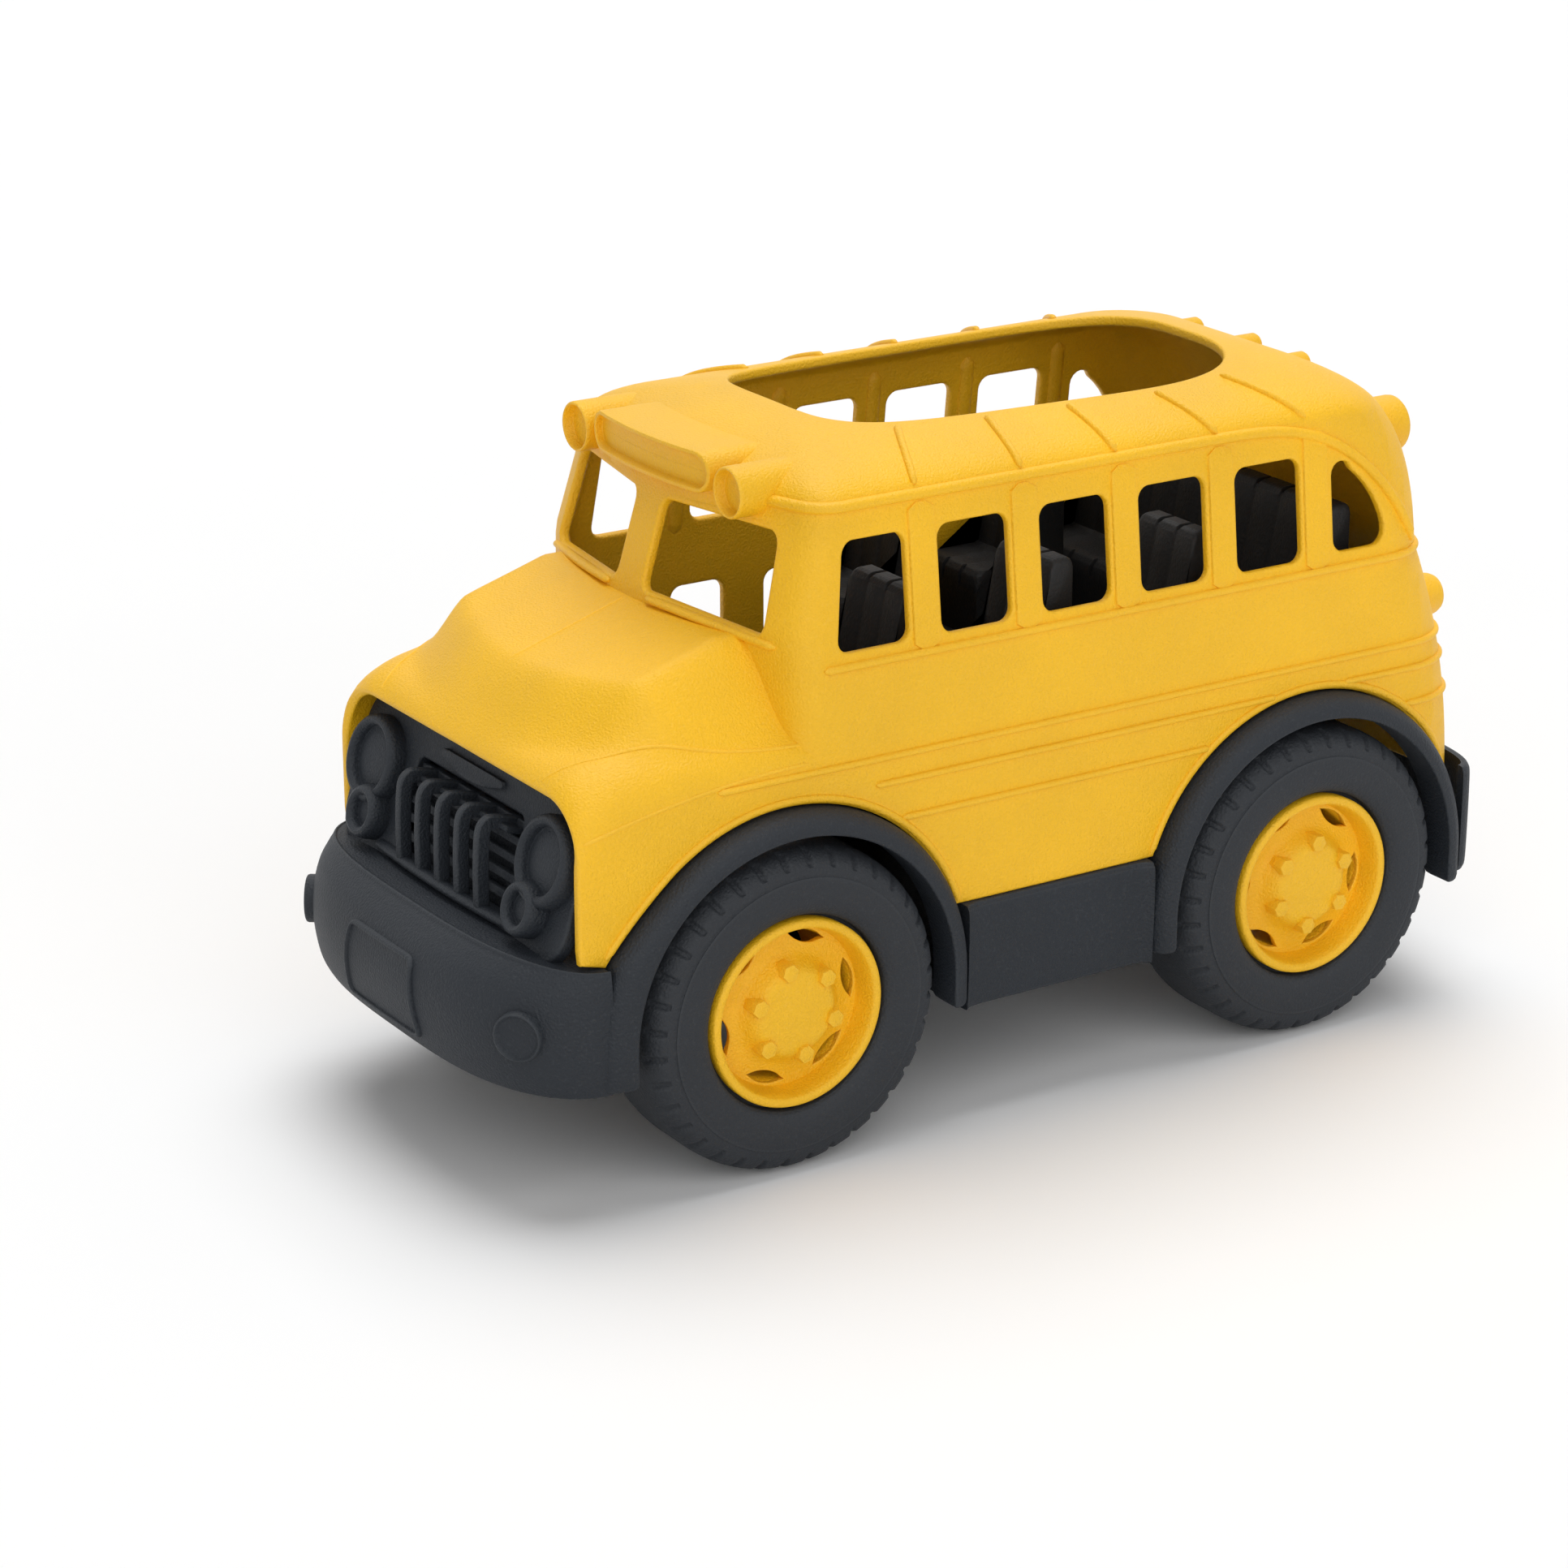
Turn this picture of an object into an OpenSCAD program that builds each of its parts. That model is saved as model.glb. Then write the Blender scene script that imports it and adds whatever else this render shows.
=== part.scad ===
// Toy bus with a snub bonnet, an open roof, seats inside and four large free-running wheels.
// Millimetres. +X is the front, +Y the left side, +Z up; the wheels stand on z = 0.

/* [Wheels and axles] */
// Distance between the two axles
wheelbase = 142.5; // [138:0.5:143]
// Front axle ahead of the middle of the bus
front_axle_x = 62.5; // [62:0.5:65]
// Tyre outside diameter
tyre_d = 74.4; // [68:0.2:76]
// Tyre width across the sidewalls
tyre_w = 27; // [23:0.5:29]
// Outer sidewalls beyond the sides of the body
tyre_out = 5.5; // [4.5:0.5:8]
// Radius of the tyre shoulders
tyre_shoulder = 5; // [3:0.5:7]
// Rim diameter of the hubs
hub_d = 43.2; // [40:0.2:46]
// Width of the flat rim ring of a hub
hub_rim_w = 2.4; // [1.8:0.2:3]
// Depth of the dish behind the rim of a hub
hub_dish = 6; // [4:0.5:7]
// Diameter of the flat face of the hub boss
hub_boss_d = 19; // [17:0.5:21]
// Across flats of the moulded wheel bolts
wheel_bolt_af = 3.4; // [2.6:0.2:4.2]
// Number of wheel bolts and of vents in a hub
wheel_bolts = 6; // [4:1:7]
// Turn of the front hubs as the bus stands
front_hub_turn = 11.5; // [0:0.5:60]
// Turn of the rear hubs as the bus stands
rear_hub_turn = 53.5; // [0:0.5:60]
// Axle diameter
axle_d = 8; // [6.6:0.2:9]
// Snap head of the axle, beyond the axle radius
axle_snap = 0.6; // [0.4:0.1:0.8]
// Running clearance round the axle
axle_play = 0.08; // [0.05:0.01:0.1]

/* [Body shell] */
// Wall thickness of the shell
wall = 2.4; // [2:0.2:3]
// Half width of the lower body
body_hw = 53.5; // [51:0.5:56]
// Lean of the sides from the belt in to the gutter
side_lean = 3.9; // [2.5:0.2:4.7]
// Lower edge of the shell
sill_z = 51.7; // [50:0.1:54]
// Height of the belt rail
belt_z = 112; // [110:0.5:113]
// Height of the gutter under the roof
gutter_z = 146; // [145:0.5:150]
// Height of the roof crown
roof_z = 158; // [156:0.5:164]
// Windscreen base ahead of the middle of the bus
screen_x = 70.1; // [68:0.5:73]
// Backward lean of the windscreen, as a slope
screen_lean = 0.3; // [0.2:0.05:0.35]
// Sweep of the windscreen from the middle to the corners
screen_sweep = 12; // [8:1:14]
// Radius of the front corners of the cabin
front_corner_r = 8; // [6:0.5:10]
// Back of the body at the sill, behind the rear axle
tail_overhang = 51; // [49.5:0.1:51.2]
// Fall of the back from the sill to the belt
tail_fall = 13; // [11:0.5:15]
// Radius of the rear corners
rear_corner_r = 16; // [14:1:20]
// Height of the rub rails
rub_rail_h = 1.2; // [0.8:0.2:1.6]

/* [Bonnet] */
// Front edge of the bonnet ahead of the middle
nose_x = 114; // [112.5:0.5:115]
// Top of the front edge
nose_z = 90.6; // [89.6:0.2:93]
// Height of the shoulders beside the bonnet
shoulder_z = 99; // [97:0.5:102]
// Radius of the shoulders
shoulder_r = 9; // [7:0.5:12]
// Height of the bonnet crown at the windscreen
crown_z = 118; // [115:0.5:119.5]
// Height of the bonnet crown at the front
crown_front_z = 105; // [102:0.5:108]
// Width of the cove round the crown
cove_w = 11; // [9:0.5:14]
// Lower tip of the shell beside the bumper
nose_tip_z = 58; // [57:0.2:60]

/* [Openings] */
// Side window width
window_w = 18.4; // [15:0.2:20]
// Side window sill
window_z0 = 115; // [114:0.5:118]
// Side window head
window_z1 = 138.8; // [135:0.2:141]
// Room behind the last full window, to the back of the body
tail_window_room = 36.8; // [35.5:0.1:40]
// Middle of the first side window
first_window_x = 40.3; // [38:0.1:41.5]
// Corner radius of the windows
window_r = 3; // [1.5:0.5:4]
// Half width of the windscreen post
screen_post = 5.2; // [4:0.2:8]
// Outer edge of the windscreen panes in from the sides of the body
screen_side = 12; // [10.5:0.5:15]
// Windscreen sill
screen_z0 = 120; // [119.5:0.5:124]
// Windscreen head
screen_z1 = 140.5; // [137:0.5:141.5]
// Front of the roof opening
roof_hole_front = 34; // [26:1:36]
// Back of the roof opening, behind the middle
roof_hole_back = 82; // [74:1:84]
// Half width of the roof opening at the front
roof_hole_hw_front = 28; // [22:1:31]
// Half width of the roof opening at the back
roof_hole_hw_back = 34; // [26:1:36]
// Middle of the two door lights
door_x = 7.5; // [4:0.5:10]
// Width of a door light
door_light_w = 14.5; // [10:0.5:16]
// Lower edge of the door lights
door_light_z = 82; // [78:0.5:86]
// Height of a door light
door_light_h = 17; // [11:0.5:19]

/* [Roof lamps and sign] */
// Distance of the roof lamps from the middle
lamp_y = 32; // [31:0.5:34]
// Front roof lamp diameter
lamp_d = 11; // [9:0.2:12]
// Rear roof lamp diameter
rear_lamp_d = 13.4; // [11:0.2:15]
// Half width of the sign box
sign_hw = 24; // [19:0.5:25]
// Height of the sign box
sign_h = 6.8; // [5.6:0.2:8]

/* [Dark mouldings] */
// Outer face of the fenders beyond the sides of the body
fender_out = 5.5; // [4.5:0.5:8]
// Gap between tyre and fender
fender_gap = 3.3; // [2.5:0.1:4]
// Radial width of the fenders
fender_band = 5.2; // [4.4:0.2:5.6]
// Lower end of the fenders
fender_z = 29.5; // [28:0.5:33]
// Edge rounding of the fenders
fender_edge = 2; // [1:0.2:2.2]
// Play between the fenders and the shell
fender_play = 0.3; // [0.2:0.05:0.5]
// Outer face of the sills beyond the sides of the body
sill_out = 1.5; // [1:0.5:3]
// Thickness of the sills and bumper walls
skirt_t = 4; // [3.6:0.2:5]
// Lower edge of sills and floor pan
skirt_z = 27; // [25:0.5:28]
// Front of the bumper plate ahead of the middle
bumper_x = 134.9; // [133:0.1:137]
// Ends of the front bumper beyond the sides of the body
bumper_out = 3.5; // [3:0.5:5.5]
// Top of the front bumper
bumper_z = 58.2; // [56.4:0.2:60]
// Half width of the bare number plate
plate_hw = 16.6; // [12:0.2:20]
// Diameter of the bumper lamp rings
bumper_lamp_d = 11; // [8:0.5:13]
// Back of the rear bumper, behind the rear axle
rear_bumper_overhang = 55; // [54.6:0.1:58]
// Ends of the rear bumper beyond the sides of the body
rear_bumper_out = 3; // [2.5:0.5:4.5]
// Top edge of the rear bumper
rear_bumper_z = 57; // [54:0.5:60]

/* [Grille panel] */
// Front face of the grille panel at headlamp height
grille_x = 111.5; // [110:0.5:112.5]
// Slope of the grille panel
grille_lean = 0.32; // [0.2:0.02:0.36]
// Thickness of the grille panel
grille_t = 4; // [3:0.5:5]
// Headlamp ring diameter
headlamp_d = 19.6; // [16:0.2:20]
// Headlamps in from the sides of the body
headlamp_side = 14.9; // [13.9:0.2:16.5]
// Headlamp height
headlamp_z = 76.2; // [75:0.2:77]
// Fog lamp ring diameter
foglamp_d = 11; // [8:0.2:11.4]
// Fog lamps in from the sides of the body
foglamp_side = 18; // [13.5:0.5:19.5]
// Fog lamp height along the panel
foglamp_z = 64.6; // [64.2:0.2:65.2]
// Half width of the grille opening
grille_hw = 22; // [18:0.5:24]
// Number of upright grille bars
grille_bars = 5; // [3:1:7]

/* [Floor and seats] */
// Thickness of the floor pan
floor_t = 3; // [2.4:0.2:4]
// Gap between floor pan and tyres
floor_gap = 2.5; // [2:0.5:4]
// Underside of the seat deck above the tyres
deck_lift = 4.6; // [4.1:0.5:7.6]
// Thickness of the seat deck
deck_t = 2.5; // [2:0.25:3.5]
// Gap between seat deck and shell
deck_gap = 1; // [0.6:0.1:1.5]
// Seat cushions above the deck
seat_h = 16.5; // [10.5:1:22.5]
// Seat backs above the deck
seat_back_h = 42.5; // [34.5:1:48.5]
// Seat back thickness at its top
seat_back_t = 6; // [4:0.5:8]
// Extra thickness of a seat back at its foot
seat_back_flare = 5; // [2:0.5:7]
// Room from the front of the rear bench to the back of the body
bench_room = 37.5; // [36:0.5:42]
// Seat back of the first row, ahead of the middle
first_seat_x = 25; // [23:0.5:27]
// Seats on the door side behind those of the other side
door_seat_shift = 50; // [47:0.5:52]
// Inner end of the side seats
seat_in_y = 25; // [18:0.5:29]
// Gap between the seats and the walls
seat_gap = 5.1; // [4.1:0.5:9.1]

/* [Hidden] */
$fn = 64;
yellow = "#f4b81c";
charcoal = "#3a3d42";
eps = 0.01;
rear_axle_x = front_axle_x - wheelbase;
tail_x = tail_overhang - rear_axle_x;
tail_belt_x = tail_x - tail_fall;
rear_bumper_x = rear_bumper_overhang - rear_axle_x;
window_pitch = (first_window_x + tail_x - tail_window_room) / 5;
tyre_face_y = body_hw + tyre_out;
axle_z = tyre_d / 2;
axle_r = axle_d / 2;
axle_seat = 0.01;
snap_head = 2;
snap_room = 0.15;
hub_r = hub_d / 2;
rim_y = tyre_face_y - 1.1;
rim_gap = 0.8;
rim_flange = 3.2;
bead_play = 0.05;
web_t = 2;
sleeve_r = axle_r + 3.6;
tyre_in_y = tyre_face_y - tyre_w;
snap_y = rim_y - hub_dish - web_t - 3;
gutter_hw = body_hw - side_lean;
screen_hw = body_hw - screen_side;
fender_y = body_hw + fender_out;
fender_r0 = tyre_d / 2 + fender_gap;
fender_r1 = fender_r0 + fender_band;
arch_r = fender_r1 + fender_play;
fender_in_y = body_hw - wall - 1;
sill_y = body_hw + sill_out;
sill_in_y = sill_y - skirt_t;
bumper_hw = body_hw + bumper_out;
rear_bumper_hw = body_hw + rear_bumper_out;
headlamp_y = body_hw - headlamp_side;
foglamp_y = body_hw - foglamp_side;
sill_x0 = rear_axle_x + fender_r1;
sill_x1 = front_axle_x - fender_r1;
bumper_end_x = front_axle_x + fender_r1;
rear_end_x = rear_axle_x - fender_r1;
roof_rise = roof_z - gutter_z;
tail_rise = roof_z - belt_z;
tail_dome_x = tail_x - 61;
tail_power = 2.6;
roof_front_run = 45;
gutter_bend_x = 81 - tail_x;
gutter_bend_run = 62;
gutter_d = 2.4;
hood_end_x = first_window_x + window_w / 2;
floor_hw = tyre_in_y - floor_gap;
floor_top = skirt_z + floor_t;
deck_hw = body_hw - wall - deck_gap;
deck_z = tyre_d + deck_lift;
deck_top = deck_z + deck_t;
seat_z = deck_top + seat_h;
seat_back_z = deck_top + seat_back_h;
seat_end_y = body_hw - wall - seat_gap;
seat_rows = 3;
seat_pitch = (first_seat_x + tail_x - bench_room) / seat_rows;
tongue_hw = 18;
tongue_t = 4;
tongue_l = 14;
arc_steps = 6;

function clamp01(t) = min(1, max(0, t));
function smooth(t) = let (c = clamp01(t)) c * c * (3 - 2 * c);
function arc(cx, cy, r, a0, a1, n = arc_steps) =
  [for (i = [0:n]) let (a = a0 + (a1 - a0) * i / n) [cx + r * cos(a), cy + r * sin(a)]];

// Solid through a stack of rings with equal point counts, each ring turning left about the stack.
// A bent ring runs out along its outer side and back along its inner side, and its ends are closed in strips.
module loft(rings, bent = false) {
  n = len(rings[0]);
  m = len(rings);
  start = bent ? [for (i = [0:n / 2 - 2]) [i, i + 1, n - 2 - i, n - 1 - i]] : [[for (i = [0:n - 1]) i]];
  polyhedron(
    points = [for (r = rings) each r],
    faces = concat(
      start,
      [for (k = [0:m - 2], i = [0:n - 1], f = [0, 1])
        let (a = k * n + i, b = k * n + (i + 1) % n, c = b + n, d = a + n)
        f == 0 ? [a, c, b] : [a, d, c]],
      [for (f = start) [for (i = [len(f) - 1:-1:0]) (m - 1) * n + f[i]]]
    )
  );
}

// Half width of the cabin at height z: upright to the belt, leaning in to the gutter, then the roof dome
function side_y(z) =
  z <= belt_z ? body_hw :
  z <= gutter_z ? body_hw - (body_hw - gutter_hw) * (z - belt_z) / (gutter_z - belt_z) :
  gutter_hw * sqrt(max(0, 1 - pow((z - gutter_z) / roof_rise, 2)));

// Front of the cabin on the centre line: leaning windscreen, then the front of the roof dome
function front_x(z) =
  z <= screen_z0 ? screen_x :
  z <= gutter_z ? screen_x - screen_lean * (z - screen_z0) :
  front_x(gutter_z) - roof_front_run * (1 - sqrt(max(0, 1 - pow((z - gutter_z) / roof_rise, 2))));

// Back of the cabin on the centre line: bulging lower body, then the tail dome
function back_x(z) =
  z <= belt_z ? -tail_x + (tail_x - tail_belt_x) * pow(clamp01((z - sill_z) / (belt_z - sill_z)), 2) :
  -tail_dome_x - (tail_belt_x - tail_dome_x)
    * pow(max(0, 1 - pow((z - belt_z) / tail_rise, tail_power)), 1 / tail_power);

// Side of the cabin at length x and height z, rounding off into the rear corner
function wall_y(x, z) =
  let (r = rear_corner_r, d = max(0, back_x(z) + r - x))
  side_y(z) - r + sqrt(max(0, r * r - d * d));

// Half of the plan outline at height z, drawn in by inset: front sweep, corner, side, rear corner, back
function cabin_half(z, inset) =
  let (
    hw = max(2, side_y(z) - inset),
    xf = front_x(z) - inset,
    xb = back_x(z) + inset,
    rf = min(front_corner_r, hw - 1),
    rr = min(rear_corner_r, hw - 1),
    sweep = screen_sweep * pow((hw - rf) / body_hw, 2),
    xc = xf - sweep - rf
  )
  concat(
    [for (i = [0:4]) let (t = i / 5) [xf - sweep * t * t, (hw - rf) * t]],
    arc(xc, hw - rf, rf, 20, 90, 4),
    [for (i = [1:3]) [xc + (xb + rr - xc) * i / 4, hw]],
    arc(xb + rr, hw - rr, rr, 90, 180),
    [[xb, 0]]
  );
function cabin_ring(z, inset, level) =
  let (half = cabin_half(z, inset), n = len(half))
  concat(
    [for (p = half) [p[0], p[1], level]],
    [for (i = [n - 2:-1:1]) [half[i][0], -half[i][1], level]]
  );

module cabin(inset, below) {
  walls = [for (t = [0, 0.3, 0.6, 1]) sill_z + (belt_z - sill_z) * t];
  panes = [(belt_z + gutter_z) / 2, gutter_z];
  roof = [for (t = [0.25, 0.5, 0.68, 0.82, 0.92, 0.98]) gutter_z + roof_rise * t];
  loft(concat(
    [cabin_ring(sill_z, inset, sill_z - below - eps)],
    [for (z = concat(walls, panes, roof))
      cabin_ring(z, inset, z - inset * clamp01((z - gutter_z) / roof_rise))]
  ));
}

// Height of the bonnet: rolled front ledge and shoulders with a broad crown standing on them
function ledge_z(x) =
  let (run = 18, t = clamp01((x - (nose_x - run)) / run))
  nose_z + (shoulder_z - nose_z) * sqrt(max(0, 1 - t * t));
function crown_top(x) =
  let (front = nose_x - 2)
  crown_front_z + (crown_z - crown_front_z) * clamp01((front - x) / (front - screen_x));
function hood_z(x, y) =
  let (
    bow = 0.0062,
    across = smooth((body_hw - 4.5 - abs(y)) / cove_w),
    along = smooth((nose_x - 1 - bow * y * y - x) / cove_w),
    base = ledge_z(x),
    over = max(0, abs(y) - (body_hw - shoulder_r))
  )
  base + max(0, crown_top(x) - base) * across * along
    - shoulder_r + sqrt(max(0, shoulder_r * shoulder_r - over * over));

module hood(inset, front, below) {
  hw = body_hw - inset;
  across = 24;
  stations = 14;
  loft([for (k = [0:stations])
    let (x = hood_end_x + (front - hood_end_x) * k / stations, xs = min(x, nose_x))
    concat(
      [[x, hw, sill_z - below]],
      [for (j = [0:across])
        let (y = hw * sin(90 * (1 - 2 * j / across)))
        [x, y, hood_z(xs, y * body_hw / hw) - inset]],
      [[x, -hw, sill_z - below]]
    )]);
}

// Rounded rectangle prism that cuts through one side wall
module window_cutter(x, w, z0, z1, side) {
  hull()
    for (dx = [-1, 1], z = [z0 + window_r, z1 - window_r])
      translate([x + dx * (w / 2 - window_r), side * body_hw, z])
        rotate([90, 0, 0]) cylinder(r = window_r, h = 24, center = true, $fn = 20);
}

// Five equal windows and a quarter-round one at the back
module side_windows(side) {
  last_x = first_window_x - 4.5 * window_pitch - 5;
  quarter_r = 9;
  quarter_w = 16;
  for (i = [0:4])
    window_cutter(first_window_x - i * window_pitch, window_w, window_z0, window_z1, side);
  hull() {
    for (p = [
        [-window_r, window_z0 + window_r, window_r],
        [-window_r, window_z1 - 2 - window_r, window_r],
        [quarter_r - quarter_w, window_z1 - 4 - quarter_r, quarter_r],
        [window_r - quarter_w, window_z0 + window_r, window_r]
      ])
      translate([last_x + p[0], side * body_hw, p[1]])
        rotate([90, 0, 0]) cylinder(r = p[2], h = 24, center = true, $fn = 28);
  }
}

// One windscreen pane, cut straight through the front wall
module screen_cutter(side) {
  hull()
    for (y = [screen_post + window_r, screen_hw - window_r], z = [screen_z0 + window_r, screen_z1 - window_r])
      translate([hood_end_x, side * y, z])
        rotate([0, 90, 0]) cylinder(r = window_r, h = screen_x - hood_end_x + 10, $fn = 20);
}

module roof_cutter() {
  front_r = 8;
  back_r = 18;
  hull() {
    for (s = [-1, 1]) {
      translate([roof_hole_front - 6 - front_r, s * (roof_hole_hw_front - front_r), gutter_z + 2])
        cylinder(r = front_r, h = 2 * roof_rise, $fn = 32);
      translate([back_r + 2 - roof_hole_back, s * (roof_hole_hw_back - back_r), gutter_z + 2])
        cylinder(r = back_r, h = 2 * roof_rise, $fn = 32);
    }
    translate([roof_hole_front - 12, 0, gutter_z + 2]) cylinder(r = 12, h = 2 * roof_rise, $fn = 32);
    translate([20 - roof_hole_back, 0, gutter_z + 2]) cylinder(r = 20, h = 2 * roof_rise, $fn = 32);
  }
}

// Gutter rail along one side, bending down to the belt at the tail
module gutter(side) {
  bends = 8;
  xs = concat([hood_end_x], [for (i = [0:bends]) gutter_bend_x + 8 - (gutter_bend_run + 8) * i / bends]);
  path = [for (x = xs)
    let (u = clamp01((gutter_bend_x - x) / gutter_bend_run), z = gutter_z - (gutter_z - belt_z) * pow(u, 3.4))
    [x, side * wall_y(x, z), z]];
  for (i = [0:len(path) - 2])
    hull() {
      translate(path[i]) sphere(d = gutter_d, $fn = 8);
      translate(path[i + 1]) sphere(d = gutter_d, $fn = 8);
    }
}

// Belt rail round the cabin and three rub rails along each side
module rails() {
  proud = 0.6;
  loft([for (dz = [-0.6, 0.6]) cabin_ring(belt_z, -proud, belt_z + dz)]);
  for (z = [75.2, 83.9, 89.9], s = [-1, 1])
    translate([rear_corner_r - tail_x, s > 0 ? body_hw - 1 : -body_hw - proud, z - rub_rail_h / 2])
      cube([hood_end_x + tail_x - rear_corner_r, 1 + proud, rub_rail_h]);
}

module roof_lamps() {
  front = front_x(gutter_z) + 1.4;
  lamp_z = gutter_z + 1.8;
  rear_z = 136;
  boss_z = 94.5;
  boss_y = lamp_y + 5;
  for (s = [-1, 1]) {
    hull() {
      translate([front - 3, s * lamp_y, lamp_z]) rotate([0, 90, 0]) cylinder(d = lamp_d, h = 3, $fn = 28);
      translate([front - 26, s * lamp_y, lamp_z + 1]) sphere(d = 4, $fn = 12);
    }
    translate([back_x(rear_z) + 14, s * lamp_y, rear_z])
      rotate([0, -90, 0]) cylinder(d = rear_lamp_d, h = 21, $fn = 32);
    translate([back_x(boss_z) + 3, s * boss_y, boss_z])
      rotate([0, -90, 0]) cylinder(d1 = 11, d2 = 8, h = 8.6, $fn = 28);
  }
  hull()
    for (s = [-1, 1]) {
      translate([front - 2, s * (sign_hw - sign_h / 2), gutter_z + 2.8])
        rotate([0, 90, 0]) cylinder(d = sign_h, h = 3.5, $fn = 28);
      translate([front - 24, s * (sign_hw - 6), gutter_z + roof_rise * 0.5]) sphere(d = 4, $fn = 12);
    }
}

module lamp_bores() {
  front = front_x(gutter_z) + 1.4;
  for (s = [-1, 1])
    translate([front - 1.6, s * lamp_y, gutter_z + 1.8])
      rotate([0, 90, 0]) cylinder(d = lamp_d - 2.2, h = 5, $fn = 28);
}

module body_shell() {
  color(yellow)
    difference() {
      union() {
        cabin(0, 0);
        hood(0, nose_x, 0);
        roof_lamps();
        rails();
        for (s = [-1, 1])
          gutter(s);
      }
      cabin(wall, 5);
      hood(wall, nose_x + 10, 5);
      for (x = [front_axle_x, rear_axle_x])
        translate([x, 0, axle_z])
          rotate([90, 0, 0]) cylinder(r = arch_r, h = 4 * body_hw, center = true, $fn = 72);
      roof_cutter();
      lamp_bores();
      for (s = [-1, 1]) {
        side_windows(s);
        screen_cutter(s);
        window_cutter(door_x + s * 13, door_light_w, door_light_z, door_light_z + door_light_h, -1);
      }
      translate([front_axle_x, -2 * body_hw, 0]) cube([2 * nose_x, 4 * body_hw, nose_tip_z]);
    }
}

// Low tray between the wheels with a saddle on each side of each axle, and wings out to the sills
module floor_pan() {
  front_end = bumper_end_x + 6;
  rear_end = rear_end_x - 2;
  saddle_w = 11;
  saddle_l = 2 * sleeve_r;
  color(charcoal)
    difference() {
      union() {
        translate([rear_end, -floor_hw, skirt_z]) cube([front_end - rear_end, 2 * floor_hw, floor_t]);
        translate([sill_x0, -sill_in_y, skirt_z]) cube([sill_x1 - sill_x0, 2 * sill_in_y, floor_t]);
        for (x = [front_axle_x, rear_axle_x], s = [-1, 1])
          translate([x - saddle_l / 2, s > 0 ? floor_hw - saddle_w : -floor_hw, skirt_z])
            cube([saddle_l, saddle_w, axle_z + sleeve_r - skirt_z]);
      }
      for (x = [front_axle_x, rear_axle_x])
        translate([x, 0, axle_z])
          rotate([90, 0, 0]) cylinder(r = axle_r + axle_seat, h = 4 * floor_hw, center = true);
    }
}

// Seat: cushion with a wedge-shaped back at its rear, extruded across the bus
module seat(x, y0, y1) {
  depth = 20;
  half_t = seat_back_t / 2;
  translate([0, y1, 0])
    rotate([90, 0, 0])
      linear_extrude(height = y1 - y0)
        polygon([
          [x - half_t, deck_top - eps],
          [x + half_t + depth, deck_top - eps],
          [x + half_t + depth, seat_z],
          [x + half_t + seat_back_flare, seat_z],
          [x + half_t, seat_back_z - 1],
          [x + half_t - 1, seat_back_z],
          [x - half_t + 1, seat_back_z],
          [x - half_t, seat_back_z - 1]
        ]);
}

// Deck with the seats on it, standing on four legs
module seat_insert() {
  leg = 9;
  deck_x0 = rear_corner_r + 3 - tail_x;
  deck_x1 = hood_end_x - 2;
  color(charcoal)
    union() {
      translate([deck_x0, -deck_hw, deck_z]) cube([deck_x1 - deck_x0, 2 * deck_hw, deck_t]);
      for (i = [0:seat_rows - 1])
        seat(first_seat_x - i * seat_pitch, seat_in_y, seat_end_y);
      for (i = [0:seat_rows - 2])
        seat(first_seat_x - door_seat_shift - i * seat_pitch, -seat_end_y, -seat_in_y);
      seat(first_seat_x - seat_rows * seat_pitch, -seat_end_y, seat_end_y);
      for (x = [front_axle_x - sleeve_r - 2 * leg, rear_axle_x + sleeve_r + leg], s = [-1, 1])
        translate([x, s * (floor_hw - leg) - leg / 2, floor_top])
          cube([leg, leg, deck_z - floor_top + eps]);
    }
}

// Bumper ring at position s across the bus: section points are reach, half width and height
function bumper_ring(end_x, power, section, s) =
  let (t = sin(90 * s), bow = sqrt(max(0, 1 - pow(abs(t), power))))
  [for (p = section) [end_x + p[0] * bow, p[1] * t, p[2]]];
bumper_steps = 12;

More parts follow.
